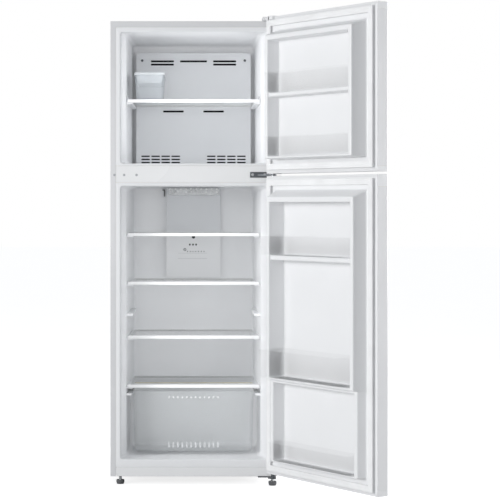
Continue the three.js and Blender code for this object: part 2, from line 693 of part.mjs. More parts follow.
function topHinge() {
  const { x, y, arm, armBack, pinBottom } = TOP_PLATE;
  const plate = [CABINET_TOP + GAP, CABINET_TOP + GAP + PLATE];
  return join(
    block(x, y, plate),
    block([PIN.x - arm, PIN.x + arm], [PIN.y, armBack], plate),
    rod("z", arm, pinAxis, plate),
    rod("z", PIN.radius, pinAxis, [pinBottom, plate[1]], 20),
  );
}

/** The moulded cap over the top hinge, open underneath. */
function topHingeCover() {
  const { x, y, armX, armBack, nose, top } = HINGE_COVER;
  const { side, roof } = HINGE_COVER_WALL;
  const shape = (inset, heights) => {
    const right = x[1] - inset;
    const beside = block([-HALF_WIDTH, right], [-DEPTH, DEPTH], [heights[0] - 1, heights[1] + 1]);
    return join(
      block([x[0] + inset, right], [y[0] + inset, y[1] - inset], heights),
      block([armX + inset, right], [PIN.y, armBack], heights),
      rod("z", nose - inset, pinAxis, heights).intersect(beside),
    );
  };
  const bottom = CABINET_TOP + GAP;
  return cut(shape(0, [bottom, top]), shape(side, [bottom - PAST, top - roof]));
}

function middleHinge() {
  const tongue = new THREE.Shape();
  tongue.moveTo(TONGUE.left, -GAP);
  tongue.lineTo(MIDDLE_PLATE.x[1], -GAP);
  tongue.lineTo(...TONGUE.right);
  tongue.absarc(PIN.x, PIN.y, TONGUE.nose, TONGUE.from, TONGUE.to, true);
  tongue.closePath();
  return join(
    block(MIDDLE_PLATE.x, [-GAP - PLATE, -GAP], MIDDLE_PLATE.z),
    slab(tongue, TONGUE.z),
    rod("z", PIN.radius, pinAxis, MIDDLE_PIN, 20),
  );
}

function lowerHinge() {
  const { x, y, armX, nose, pinTop } = LOWER_PLATE;
  const plate = [CABINET_BOTTOM - GAP - PLATE, CABINET_BOTTOM - GAP];
  const outline = join(
    block(x, y, plate),
    block([armX, x[1]], [PIN.y, 0], plate),
    rod("z", nose, pinAxis, plate),
    rod("z", PIN.radius, pinAxis, [plate[0], pinTop], 20),
    rod("z", LOWER_COLLAR.radius, pinAxis, [plate[0], LOWER_COLLAR.top], 20),
  );
  const hole = [CABINET_BOTTOM - PAST, CABINET_BOTTOM + PAST];
  return cut(outline, rod("z", FOOT.hole, [RIGHT_FOOT.x, RIGHT_FOOT.y, 0], hole));
}

piece(fridge, "top_hinge", topHinge(), HINGE_STEEL);
piece(fridge, "top_hinge_cover", topHingeCover(), TRIM_PLASTIC);
piece(fridge, "middle_hinge", middleHinge(), HINGE_STEEL);
piece(fridge, "lower_hinge", lowerHinge(), HINGE_STEEL);

// ---- Compressor bay ----------------------------------------------------------------------------

/** The sealed compressor on its foot plate, with the starter box on its side. */
function compressor() {
  const { x, y, radius, base, shoulder, dome, footDome } = COMPRESSOR;
  const waist = base + PEDESTAL.rise;
  const bowl = (height, z) => {
    const sphere = new THREE.SphereGeometry(radius, 28, 14);
    return solid(sphere.rotateX(Math.PI / 2).scale(1, 1, height).translate(x, y, z));
  };
  const mounts = [-1, 1].flatMap((across) =>
    [-1, 1].map((along) => {
      const centre = [x + across * MOUNTS.x, y + along * MOUNTS.y, 0];
      return rod("z", MOUNTS.radius, centre, MOUNTS.z, 14);
    }),
  );
  return join(
    bowl(dome, shoulder),
    bowl(footDome, waist),
    rod("z", radius - 0.05, [x, y, 0], [waist, shoulder], 28),
    block([x - FOOT_PLATE.x, x + FOOT_PLATE.x], [y - FOOT_PLATE.y, y + FOOT_PLATE.y], FOOT_PLATE.z),
    rod("z", PEDESTAL.radius, [x, y, 0], PEDESTAL.z),
    block(
      [x + radius - STARTER.inner, x + radius + STARTER.outer],
      [y - STARTER.half, y + STARTER.half],
      STARTER.z,
    ),
    ...mounts,
  );
}

/** The rubber bush where the supply cord enters at the rear edge. */
function cordGland() {
  const centre = [GLAND.x, 0, GLAND.z];
  const sleeve = rod("y", GLAND.hole - GAP, centre, [GLAND.front, GLAND.back]);
  const collar = rod("y", GLAND.collar, centre, [GLAND.collarFront, DEPTH]);
  return cut(join(sleeve, collar), rod("y", GLAND.bore, centre, [GLAND.front - PAST, DEPTH + PAST], 16));
}

piece(fridge, "compressor", compressor(), COMPRESSOR_PAINT);
piece(fridge, "drain_pan", tub(DRAIN_PAN), DARK_PLASTIC);
piece(fridge, "discharge_pipe", tube(DISCHARGE.points, DISCHARGE.radius), COPPER);
piece(fridge, "suction_pipe", tube(SUCTION.points, SUCTION.radius), COPPER);
piece(fridge, "cord_gland", cordGland(), DARK_PLASTIC);

// ---- Doors -------------------------------------------------------------------------------------

/** A door's outline seen from above, with its two front corners rounded. */
function doorOutline(inset, reach) {
  const left = FREE_EDGE + inset;
  const right = DOOR.hingeEdge - inset;
  const front = DOOR.inner - DOOR.thickness + inset;
  const radius = DOOR.corner - inset;
  const outline = new THREE.Shape();
  outline.moveTo(left, reach);
  outline.lineTo(left, front + radius);
  outline.absarc(left + radius, front + radius, radius, Math.PI, 1.5 * Math.PI);
  outline.lineTo(right - radius, front);
  outline.absarc(right - radius, front + radius, radius, 1.5 * Math.PI, 2 * Math.PI);
  outline.lineTo(right, reach);
  outline.closePath();
  return outline;
}

/** The painted front of a door and its two side returns. */
function doorSkin({ bottom, top, bottomCap, topCap }) {
  const heights = [bottom + bottomCap + GAP, top - topCap - GAP];
  const cutHeights = [heights[0] - 1, heights[1] + 1];
  const hollow = slab(doorOutline(DOOR.skin, DOOR.inner + PAST), cutHeights);
  return cut(slab(doorOutline(0, DOOR.inner), heights), hollow);
}

/** A hollow end cap; outward is +1 for the top of a door and -1 for its foot. */
function doorCap(end, height, outward) {
  const inner = end - outward * height;
  const sorted = (a, b) => [Math.min(a, b), Math.max(a, b)];
  const whole = slab(doorOutline(0, DOOR.inner), sorted(end, inner));
  const hollow = block(
    [FREE_EDGE + CAP_WALL, DOOR.hingeEdge - CAP_WALL],
    [DOOR.inner - DOOR.thickness + CAP_WALL, DOOR.inner - CAP_WALL - LINER],
    sorted(end - outward * CAP_WALL, inner - outward * PAST),
  );
  const seat = block(
    [FREE_EDGE + DOOR.skin, DOOR.hingeEdge - DOOR.skin],
    [DOOR.inner - PANEL.wall - GAP, DOOR.inner + PAST],
    sorted(end - outward * CAP_LIP, inner - outward * PAST),
  );
  const boss = rod("z", 9, [0, 0, 0], sorted(end, inner));
  const bore = rod("z", PIN.bore, [0, 0, 0], sorted(end + outward * PAST, inner - outward * PAST), 20);
  return cut(cut(whole, cut(hollow, boss)), seat, bore);
}

/** A raised band or a sunk pocket of a door's inner panel, as a loft across the depth. */
function panelLoft({ x, z, grown, from, to, draftX, draftZ }) {
  const near = uprightRing(from, [x[0] - grown, x[1] + grown], [z[0] - grown, z[1] + grown]);
  const far = uprightRing(
    to,
    [x[0] - grown + draftX, x[1] + grown - draftX],
    [z[0] - grown + draftZ[0], z[1] + grown - draftZ[1]],
  );
  return loft([near, far]);
}

/** Everything behind a door's inner panel, filled; it is the panel's face when shrunk is 0. */
function panelForm({ dikes, pockets, ledges }, shrunk, field) {
  const face = DOOR.inner - shrunk;
  const x = [FREE_EDGE + DIKE.inset, DOOR.hingeEdge - DIKE.inset];
  const bands = dikes.map(({ z, height, draftZ }) => {
    const depths = { from: face - PANEL.overlap, to: face + height };
    return panelLoft({ x, z, grown: -shrunk, ...depths, draftX: DIKE.draft, draftZ });
  });
  const mouth = [x[0] + DIKE.draft + DIKE.ridge, x[1] - DIKE.draft - DIKE.ridge];
  const hollows = pockets.map(({ z, floor, rim }) => {
    const inner = [mouth[0] + DIKE.pocketDraft, mouth[1] - DIKE.pocketDraft];
    return loft([
      uprightRing(floor - shrunk, [inner[0] - shrunk, inner[1] + shrunk], [z[0] - shrunk, z[1] + shrunk]),
      uprightRing(rim, [mouth[0] - shrunk, mouth[1] + shrunk], [z[0] - shrunk, z[1] + shrunk]),
    ]);
  });
  const bars = ledges.map(({ z, reach }) =>
    block(
      [mouth[0] - DIKE.ridge / 2, mouth[1] + DIKE.ridge / 2],
      [0, reach - shrunk],
      [z[0] + shrunk, z[1] - shrunk],
    ),
  );
  return join(cut(join(field, ...bands), ...hollows), ...bars);
}

/** The moulded inner panel with its raised dike, bin ledges and sunk pocket. */
function doorLiner(door) {
  const { bottom, top } = door;
  const sheetX = [FREE_EDGE + DOOR.skin + GAP, DOOR.hingeEdge - DOOR.skin - GAP];
  const sheetZ = [bottom + CAP_LIP + GAP, top - CAP_LIP - GAP];
  const { behind } = PANEL;
  const shown = panelForm(door, 0, block(sheetX, [behind, DOOR.inner], sheetZ));
  const wide = [sheetX[0] - PAST, sheetX[1] + PAST];
  const tall = [sheetZ[0] - PAST, sheetZ[1] + PAST];
  const hidden = panelForm(door, PANEL.wall, block(wide, [behind - PAST, DOOR.inner - PANEL.wall], tall));
  const sheet = cut(shown, hidden);
  return door.topStep > 0 ? cut(sheet, stepInPanel(door)) : sheet;
}

/** A door's foam: between skin, caps and inner panel, with a way left for the hinge pins. */
function doorFoam(door) {
  const { bottom, top, bottomCap, topCap, topStep } = door;
  const shrunk = PANEL.wall + GAP;
  const middle = [bottom + bottomCap + 2 * GAP, top - topCap - 2 * GAP];
  const body = slab(doorOutline(DOOR.skin + GAP, DOOR.inner - shrunk), middle);
  const inCaps = block(
    [FREE_EDGE + CAP_WALL + GAP, DOOR.hingeEdge - CAP_WALL - GAP],
    [DOOR.inner - DOOR.thickness + CAP_WALL + GAP, DOOR.inner - CAP_WALL - LINER - GAP],
    [bottom + CAP_WALL + GAP, top - CAP_WALL - GAP],
  );
  const filled = panelForm(door, shrunk, join(body, inCaps));
  const ways = [
    rod("z", PIN_WAY.radius, [0, 0, 0], [bottom, bottom + bottomCap + PIN_WAY.foot]),
    rod("z", PIN_WAY.radius, [0, 0, 0], [top - topCap - PIN_WAY.head, top]),
  ];
  if (topStep > 0) ways.push(stepInPanel(door));
  return cut(filled, ...ways);
}

/** The corner taken off the top of a door, where the upper hinge passes over it. */
function hingeStep(top, depth, reach) {
  const depths = [-DOOR.thickness, DOOR.thickness];
  return block([-reach, DOOR.hingeEdge + PAST], depths, [top - depth, top + PAST]);
}

/** The same corner, with room for the cap's own walls, taken off what lies under the cap. */
function stepInPanel({ top, topStep }) {
  return hingeStep(top, topStep + CAP_LIP + GAP, STEP_REACH + CAP_WALL + GAP);
}

/** The magnetic seal that runs round the inner panel. */
function doorGasket({ bottom, top }) {
  const x = [FREE_EDGE + GASKET.inset, DOOR.hingeEdge - GASKET.inset];
  const z = [bottom + GASKET.inset, top - GASKET.inset];
  const inward = ([a, b], by) => [a + by, b - by];
  const depths = [DOOR.inner + GAP, DOOR.inner + GASKET.height + GAP];
  return cut(
    block(x, depths, z),
    block(inward(x, GASKET.width), [depths[0] - 1, depths[1] + 1], inward(z, GASKET.width)),
  );
}

/** A door bin from its floor to its rim, standing out to a depth from the panel. */
function doorBin({ floor, rim, back, front }) {
  const [left, right] = BIN.x;
  const foot = BIN.foot;
  return tub({
    bottom: { z: floor, x: [left + foot.x, right - foot.x], y: [back + foot.back, front - foot.front] },
    top: { z: rim, x: [left + BIN.rim, right - BIN.rim], y: [back + BIN.rim, front - BIN.rim] },
    wall: BIN.wall,
    rim: BIN.rim,
    rimHeight: BIN.rimHeight,
  });
}

/** A top cap, with its corner over the hinge pin lowered if the door has a step. */
function doorTopCap({ top, topCap, topStep }) {
  const plain = doorCap(top, topCap, 1);
  if (topStep === 0) return plain;
  const depths = [DOOR.inner - DOOR.thickness, DOOR.inner];
  const heights = [top - topStep - CAP_LIP, top - 1];
  const roof = block([-STEP_REACH - CAP_WALL, DOOR.hingeEdge], depths, heights);
  const rounded = roof.intersect(slab(doorOutline(0, DOOR.inner), [top - topCap, top]));
  const bore = rod("z", PIN.bore, [0, 0, 0], [top - topCap - PAST, top + PAST], 20);
  return cut(join(plain, rounded), hingeStep(top, topStep, STEP_REACH), bore);
}

for (const [name, door] of Object.entries(DOORS)) {
  const group = new THREE.Group();
  group.position.set(PIN.x, PIN.y, 0);
  group.rotation.z = THREE.MathUtils.degToRad(OPEN_ANGLE);
  fridge.add(group);

  piece(group, `${name}_skin`, doorSkin(door), PAINTED_STEEL);
  piece(group, `${name}_top_cap`, doorTopCap(door), TRIM_PLASTIC);
  piece(group, `${name}_foot_cap`, doorCap(door.bottom, door.bottomCap, -1), TRIM_PLASTIC);
  piece(group, `${name}_liner`, doorLiner(door), LINER_PLASTIC);
  piece(group, `${name}_foam`, doorFoam(door), FOAM);
  piece(group, `${name}_gasket`, doorGasket(door), GASKET_RUBBER);
  for (const [bin, sizes] of Object.entries(door.bins)) {
    piece(group, bin, doorBin(sizes), CLEAR_PLASTIC);
  }
}

// ---- Place the origin on the floor at the middle of the footprint ------------------------------

fridge.updateMatrixWorld(true);
const extent = new THREE.Box3().setFromObject(fridge, true);
const middle = extent.getCenter(new THREE.Vector3());
fridge.position.set(-middle.x, -middle.y, -extent.min.z);

export default fridge;
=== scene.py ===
"""The finished look of a top freezer refrigerator that stands with both doors open.

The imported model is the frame: every size and place here comes from its nodes and joints, in metres.
Sub-assemblies build their own meshes in the cabinet's frame (X 0 on the centre line, Y 0 on the front
plane, Z 0 on the floor) or in a door's frame (X 0 and Y 0 on the hinge pin, door closed).
"""

import json
import logging
import math
from dataclasses import dataclass
from enum import Enum
from typing import Callable, Iterable, Sequence

import bmesh
import bpy
from mathutils import Matrix, Vector


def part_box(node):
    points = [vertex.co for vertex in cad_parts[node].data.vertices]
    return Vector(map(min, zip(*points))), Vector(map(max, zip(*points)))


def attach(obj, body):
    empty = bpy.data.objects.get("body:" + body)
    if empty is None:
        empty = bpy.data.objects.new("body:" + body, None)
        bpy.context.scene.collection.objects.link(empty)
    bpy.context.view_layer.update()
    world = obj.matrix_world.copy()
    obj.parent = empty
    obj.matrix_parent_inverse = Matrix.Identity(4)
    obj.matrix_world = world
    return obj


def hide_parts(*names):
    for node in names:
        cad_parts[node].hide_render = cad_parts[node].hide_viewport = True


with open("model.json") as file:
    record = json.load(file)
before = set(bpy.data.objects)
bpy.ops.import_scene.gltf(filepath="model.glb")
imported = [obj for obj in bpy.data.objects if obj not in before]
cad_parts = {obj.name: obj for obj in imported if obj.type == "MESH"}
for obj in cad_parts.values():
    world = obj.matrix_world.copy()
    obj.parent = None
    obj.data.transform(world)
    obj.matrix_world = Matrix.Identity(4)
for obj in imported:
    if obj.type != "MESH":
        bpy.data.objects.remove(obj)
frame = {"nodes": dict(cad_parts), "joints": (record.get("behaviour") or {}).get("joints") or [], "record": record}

log = logging.getLogger("refrigerator")

Ring = list[Vector]
Point = tuple[float, float, float]

# ---- Frames ----------------------------------------------------------------------------------------

CASE_LOW, CASE_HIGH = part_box("outer_case")
CABINET = Matrix.Translation(((CASE_LOW.x + CASE_HIGH.x) / 2, CASE_LOW.y, 0.0))
HALF_WIDTH = (CASE_HIGH.x - CASE_LOW.x) / 2
SLOT_OF = {part["node"]: part["material_slot"] for part in frame["record"]["subparts"]}
BODY_OF = {node: body for body, nodes in frame["record"]["behaviour"]["bodies"].items() for node in nodes}


def door_matrix(joint_name: str) -> Matrix:
    """The place of a door's own frame when the door stands open.

    Args:
        joint_name: The door's hinge joint.

    Returns:
        The matrix from the door's frame to the model's frame.
    """
    joint = next(j for j in frame["joints"] if j["name"] == joint_name)
    open_angle = math.radians(-joint["range_deg"][0])
    x, y, _ = joint["pos_m"]
    return Matrix.Translation((x, y, 0.0)) @ Matrix.Rotation(open_angle, 4, "Z")


def box_in(node: str, place: Matrix) -> tuple[Vector, Vector]:
    """A node's lowest and highest corners, measured in another frame.

    Args:
        node: The node to measure.
        place: The matrix from that frame to the model's frame.

    Returns:
        The lowest and the highest corner.
    """
    back = place.inverted()
    points = [back @ vertex.co for vertex in frame["nodes"][node].data.vertices]
    low = Vector(min(p[axis] for p in points) for axis in range(3))
    high = Vector(max(p[axis] for p in points) for axis in range(3))
    return low, high


# ---- Meshes ----------------------------------------------------------------------------------------

TOUCH = 1e-5
FLAT = math.radians(0.6)
CREASE = math.radians(32)
ROUND_CREASE = math.radians(40)
SOFT_CREASE = math.radians(50)
FULL_TURN = 2 * math.pi


def arc(steps: int) -> list[float]:
    """The angles from 0 to a quarter turn, in equal steps."""
    return [FULL_TURN / 4 * i / steps for i in range(steps + 1)]


def turns(count: int) -> list[float]:
    """That many angles, equally spread round a full turn."""
    return [FULL_TURN * i / count for i in range(count)]


def rounded_rectangle(
    first: tuple[float, float], second: tuple[float, float], radius: float, steps: int = 6
) -> list[tuple[float, float]]:
    """A rectangle with round corners, counter-clockwise from its lower right corner.

    Args:
        first: Its lowest and highest value on the first axis.
        second: Its lowest and highest value on the second axis.
        radius: The radius of its corners.
        steps: The number of edges along each corner.

    Returns:
        The outline's points.
    """
    points = []
    centres = [
        (first[1] - radius, second[0] + radius, -math.pi / 2),
        (first[1] - radius, second[1] - radius, 0.0),
        (first[0] + radius, second[1] - radius, math.pi / 2),
        (first[0] + radius, second[0] + radius, math.pi),
    ]
    for x, y, start in centres:
        for turn in arc(steps):
            points.append((x + radius * math.cos(start + turn), y + radius * math.sin(start + turn)))
    return points


def level(points: Iterable[tuple[float, float]], z: float) -> Ring:
    """An outline in X and Y at one height."""
    return [Vector((x, y, z)) for x, y in points]


def upright(points: Iterable[tuple[float, float]], y: float) -> Ring:
    """An outline in X and Z at one depth."""
    return [Vector((x, y, z)) for x, z in points]


def loft(
    rings: Sequence[Ring], caps: tuple[bool, bool] = (True, True), closed: bool = False
) -> bmesh.types.BMesh:
    """A skin over rings that all have the same count of points.

    Args:
        rings: The rings, in order.
        caps: Whether the first and the last ring are filled.
        closed: Whether the last ring joins the first.

    Returns:
        The skin, with its normals made consistent.
    """
    made = bmesh.new()
    rows = [[made.verts.new(point) for point in ring] for ring in rings]
    pairs = list(zip(rows, rows[1:]))
    if closed:
        pairs.append((rows[-1], rows[0]))
    for low, high in pairs:
        for i in range(len(low)):
            j = (i + 1) % len(low)
            made.faces.new((low[i], low[j], high[j], high[i]))
    if caps[0] and not closed:
        made.faces.new(reversed(rows[0]))
    if caps[1] and not closed:
        made.faces.new(rows[-1])
    bmesh.ops.remove_doubles(made, verts=made.verts, dist=TOUCH / 10)
    bmesh.ops.recalc_face_normals(made, faces=made.faces)
    return made


def lathe(profile: Sequence[tuple[float, float]], sides: int) -> bmesh.types.BMesh:
    """A body of revolution about Z.

    Args:
        profile: Radius and height of each of its rings; an end on the axis is closed to a point.
        sides: The number of sides.

    Returns:
        The closed body.
    """
    return loft([
        [Vector((radius * math.cos(t), radius * math.sin(t), height)) for t in turns(sides)]
        for radius, height in profile
    ])


def hoop(section: Sequence[tuple[float, float]], sides: int) -> bmesh.types.BMesh:
    """A closed section carried round Z.

    Args:
        section: Radius and height of each of its points.
        sides: The number of sides.

    Returns:
        The closed body.
    """
    rings = [[Vector((r * math.cos(t), r * math.sin(t), z)) for r, z in section] for t in turns(sides)]
    return loft(rings, closed=True)


def merged(node: str, place: Matrix) -> bmesh.types.BMesh:
    """A node's shape with its loose triangles joined, in another frame.

    Args:
        node: The node to copy.
        place: The matrix from that frame to the model's frame.

    Returns:
        The joined copy, with coplanar triangles made one face.
    """
    made = bmesh.new()
    made.from_mesh(frame["nodes"][node].data)
    bmesh.ops.transform(made, matrix=place.inverted(), verts=made.verts)
    bmesh.ops.remove_doubles(made, verts=made.verts, dist=TOUCH)
    bmesh.ops.dissolve_degenerate(made, dist=TOUCH / 2, edges=made.edges)
    bmesh.ops.dissolve_limit(made, angle_limit=FLAT, verts=made.verts, edges=made.edges)
    return made


def soften(shape: bmesh.types.BMesh, edges: Iterable[bmesh.types.BMEdge], width: float, steps: int) -> None:
    """Rounds edges.

    Args:
        shape: The shape that the edges belong to.
        edges: The edges to round.
        width: How far the rounding reaches from each edge.
        steps: The number of faces across it.
    """
    chosen = list(edges)
    if not chosen:
        return
    bmesh.ops.bevel(
        shape, geom=chosen, offset=width, offset_type="OFFSET", segments=steps, profile=0.5,
        affect="EDGES", clamp_overlap=True,
    )


def sharp_edges(shape: bmesh.types.BMesh, angle: float) -> list[bmesh.types.BMEdge]:
    """The edges that turn by more than an angle."""
    return [e for e in shape.edges if len(e.link_faces) == 2 and e.calc_face_angle(0.0) > angle]


def borders(face: bmesh.types.BMFace, sharp: set[bmesh.types.BMEdge]) -> set[bmesh.types.BMEdge]:
    """The sharp edges round the smooth area that a face is in."""
    found: set[bmesh.types.BMEdge] = set()
    known, waiting = {face}, [face]
    while waiting:
        for edge in waiting.pop().edges:
            if edge in sharp:
                found.add(edge)
                continue
            for neighbour in edge.link_faces:
                if neighbour not in known:
                    known.add(neighbour)
                    waiting.append(neighbour)
    return found


def distance_between(point: Vector, edge: bmesh.types.BMEdge) -> float:
    """How far a point is from an edge."""
    start, end = (vertex.co for vertex in edge.verts)
    along = end - start
    part = min(max((point - start).dot(along) / along.length_squared, 0.0), 1.0)
    return (point - start.lerp(end, part)).length


def room_beside(edge: bmesh.types.BMEdge, sharp: set[bmesh.types.BMEdge]) -> float:
    """How far an edge is from the nearest other sharp edge of the areas on its two sides."""
    nearest = 1.0
    first, second = (vertex.co for vertex in edge.verts)
    for face in edge.link_faces:
        for other in borders(face, sharp):
            if other is edge or set(other.verts) & set(edge.verts):
                continue
            for share in (0.1, 0.5, 0.9):
                nearest = min(nearest, distance_between(first.lerp(second, share), other))
    return nearest


def rounded_by_room(piece: bpy.types.Object, width: float, angle: float, steps: int) -> bpy.types.Object:
    """Rounds a piece's edges, each by as much as its faces have room for.

    Args:
        piece: The piece.
        width: The widest rounding.
        angle: Edges that turn by more than this are rounded.
        steps: The number of faces across a rounded edge.

    Returns:
        The same object.
    """
    shape = bmesh.new()
    shape.from_mesh(piece.data)
    weight = shape.edges.layers.float.new("bevel_weight_edge")
    sharp = set(sharp_edges(shape, angle))
    share_of_room = 0.42
    for edge in sharp:
        edge[weight] = min(1.0, share_of_room * room_beside(edge, sharp) / width)
        edge.smooth = True
    shape.to_mesh(piece.data)
    shape.free()
    modifier = piece.modifiers.new("rounding", "BEVEL")
    modifier.width = width
    modifier.segments = steps
    modifier.limit_method = "WEIGHT"
    modifier.use_clamp_overlap = False
    return settle(piece)


def mark_creases(shape: bmesh.types.BMesh, crease: float) -> None:
    """Shades a shape smooth, except across edges that turn by more than an angle."""
    for face in shape.faces:
        face.smooth = True
    for edge in shape.edges:
        edge.smooth = not (len(edge.link_faces) == 2 and edge.calc_face_angle(0.0) > crease)


def object_of(name: str, shape: bmesh.types.BMesh, place: Matrix, crease: float = CREASE) -> bpy.types.Object:
    """An object at the origin with its place in its mesh.

    Args:
        name: The object's name.
        shape: Its shape, which is freed.
        place: The matrix from the shape's frame to the model's frame.
        crease: Edges that turn by more than this stay sharp.

    Returns:
        The object, shaded smooth between its creases.
    """
    bmesh.ops.transform(shape, matrix=place, verts=shape.verts)
    mark_creases(shape, crease)
    mesh = bpy.data.meshes.new(name)
    shape.to_mesh(mesh)
    shape.free()
    made = bpy.data.objects.new(name, mesh)
    bpy.context.scene.collection.objects.link(made)
    return made


def settle(piece: bpy.types.Object) -> bpy.types.Object:
    """Applies a piece's modifiers, so that its mesh is a plain one."""
    graph = bpy.context.evaluated_depsgraph_get()
    evaluated = piece.evaluated_get(graph)
    mesh = bpy.data.meshes.new_from_object(evaluated, preserve_all_data_layers=True, depsgraph=graph)
    piece.modifiers.clear()
    old = piece.data
    piece.data = mesh
    mesh.name = piece.name
    bpy.data.meshes.remove(old)
    return piece


def even_shading(piece: bpy.types.Object) -> bpy.types.Object:
    """Keeps large flat faces flat in shading beside their narrow roundings."""
    modifier = piece.modifiers.new("even_shading", "WEIGHTED_NORMAL")
    modifier.keep_sharp = True
    return settle(piece)


def thicken(piece: bpy.types.Object, wall: float) -> bpy.types.Object:
    """Gives a surface its wall, behind the side that is seen.

    Args:
        piece: The surface, whose normals point to the side that is seen.
        wall: The thickness.

    Returns:
        The same object, closed.
    """
    modifier = piece.modifiers.new("wall", "SOLIDIFY")
    modifier.thickness = wall
    modifier.offset = -1.0
    modifier.use_even_offset = False
    return settle(piece)


# ---- Finishes --------------------------------------------------------------------------------------

Colour = tuple[float, float, float]


class ShaderTree:
    """A material's nodes while they are being laid out, on the piece's own Object coordinates."""

    def __init__(self, name: str) -> None:
        """Starts a material with one shader.

        Args:
            name: The material's name.
        """
        self.material = bpy.data.materials.new(name)
        self.material.use_nodes = True
        self.tree = self.material.node_tree
        self.tree.nodes.clear()
        output = self.tree.nodes.new("ShaderNodeOutputMaterial")
        self.shader = self.tree.nodes.new("ShaderNodeBsdfPrincipled")
        self.tree.links.new(self.shader.outputs["BSDF"], output.inputs["Surface"])
        self.coordinates = self.tree.nodes.new("ShaderNodeTexCoord").outputs["Object"]

    def fix(self, **values: float) -> None:
        """Sets plain values on the shader; an underscore stands for a space."""
        for name, value in values.items():
            self.shader.inputs[name.replace("_", " ")].default_value = value

    def feed(self, socket: str, source: bpy.types.NodeSocket) -> None:
        """Links a node's output to one of the shader's sockets."""
        self.tree.links.new(source, self.shader.inputs[socket])

    def stretched(self, factors: Point) -> bpy.types.NodeSocket:
        """The coordinates, scaled along each axis."""
        mapping = self.tree.nodes.new("ShaderNodeMapping")
        mapping.inputs["Scale"].default_value = factors
        self.tree.links.new(self.coordinates, mapping.inputs["Vector"])
        return mapping.outputs["Vector"]

    def noise(self, scale: float, detail: float = 2.0, factors: Point | None = None) -> bpy.types.NodeSocket:
        """A soft noise.

        Args:
            scale: Its spots to the metre.
            detail: Its octaves.
            factors: How much the pattern is pressed together along each axis.

        Returns:
            Its value, from 0 to 1.
        """
        node = self.tree.nodes.new("ShaderNodeTexNoise")
        node.inputs["Scale"].default_value = scale
        node.inputs["Detail"].default_value = detail
        self.tree.links.new(self.stretched(factors) if factors else self.coordinates, node.inputs["Vector"])
        return node.outputs[0]

    def cells(self, scale: float, output: str = "Distance") -> bpy.types.NodeSocket:
        """A cell pattern with that many cells to the metre."""
        node = self.tree.nodes.new("ShaderNodeTexVoronoi")
        node.inputs["Scale"].default_value = scale
        self.tree.links.new(self.coordinates, node.inputs["Vector"])
        return node.outputs[output]

    def between(self, source: bpy.types.NodeSocket, low: float, high: float) -> bpy.types.NodeSocket:
        """A pattern's middle range, spread between two values."""
        node = self.tree.nodes.new("ShaderNodeMapRange")
        node.inputs["From Min"].default_value = 0.3
        node.inputs["From Max"].default_value = 0.7
        node.inputs["To Min"].default_value = low
        node.inputs["To Max"].default_value = high
        self.tree.links.new(source, node.inputs["Value"])
        return node.outputs["Result"]

    def tint(self, source: bpy.types.NodeSocket, first: Colour, second: Colour) -> bpy.types.NodeSocket:
        """A colour between two others, chosen by a pattern."""
        node = self.tree.nodes.new("ShaderNodeMix")
        node.data_type = "RGBA"
        node.inputs[6].default_value = (*first, 1.0)
        node.inputs[7].default_value = (*second, 1.0)
        self.tree.links.new(self.between(source, 0.0, 1.0), node.inputs[0])
        return node.outputs[2]

    def gloss(self, source: bpy.types.NodeSocket, low: float, high: float) -> None:
        """Feeds the shader's roughness from a pattern, between two values."""
        self.feed("Roughness", self.between(source, low, high))

    def relief(self, *layers: tuple[bpy.types.NodeSocket, float]) -> None:
        """Feeds the shader's normal from patterns, each with its height in metres."""
        last = None
        for height, distance in layers:
            node = self.tree.nodes.new("ShaderNodeBump")
            node.inputs["Distance"].default_value = distance
            self.tree.links.new(height, node.inputs["Height"])
            if last is not None:
                self.tree.links.new(last, node.inputs["Normal"])
            last = node.outputs["Normal"]
        self.feed("Normal", last)


def darker(colour: Colour, share: float) -> Colour:
    """A colour with a share of its light taken away."""
    return tuple(value * (1.0 - share) for value in colour)


@dataclass(frozen=True)
class PaintedSteel:
    """Sheet steel with baked white enamel: a fine orange peel under a thin gloss."""

    name: str
    colour: Colour
    roughness: float = 0.36
    peel: float = 0.0000025

    def material(self) -> bpy.types.Material:
        """Builds the material."""
        tree = ShaderTree(self.name)
        tree.feed("Base Color", tree.tint(tree.noise(3.0), self.colour, darker(self.colour, 0.025)))
        tree.gloss(tree.noise(4.0, 0.5), self.roughness - 0.02, self.roughness + 0.03)
        tree.relief((tree.noise(260.0, 1.0), self.peel))
        tree.fix(Coat_Weight=0.25, Coat_Roughness=0.12, IOR=1.5)
        return tree.material


@dataclass(frozen=True)
class MouldedPlastic:
    """Opaque moulded or vacuum formed plastic, with a fine grain and cloudy gloss."""

    name: str
    colour: Colour
    roughness: float = 0.32
    grain: float = 400.0
    grain_height: float = 0.0000015

    def material(self) -> bpy.types.Material:
        """Builds the material."""
        tree = ShaderTree(self.name)
        tree.feed("Base Color", tree.tint(tree.noise(5.0), self.colour, darker(self.colour, 0.02)))
        tree.gloss(tree.noise(4.0, 0.5), self.roughness - 0.02, self.roughness + 0.03)
        tree.relief((tree.noise(self.grain, 1.0), self.grain_height))
        tree.fix(IOR=1.49)
        return tree.material


@dataclass(frozen=True)
class ClearPlastic:
    """Clear moulded polystyrene, with faint flow lines and handling haze."""

    name: str
    colour: Colour
    alpha: float
    roughness: float = 0.08
    haze: float = 0.1

    def material(self) -> bpy.types.Material:
        """Builds the material."""
        tree = ShaderTree(self.name)
        tree.feed("Base Color", tree.tint(tree.noise(9.0), self.colour, darker(self.colour, 0.04)))
        tree.gloss(tree.noise(40.0, 3.0), self.roughness, self.roughness + self.haze)
        tree.relief((tree.noise(22.0, 0.0, (1.0, 1.0, 0.25)), 0.0001))
        tree.fix(Alpha=self.alpha, IOR=1.52, Coat_Weight=0.4, Coat_Roughness=0.05)
        return tree.material


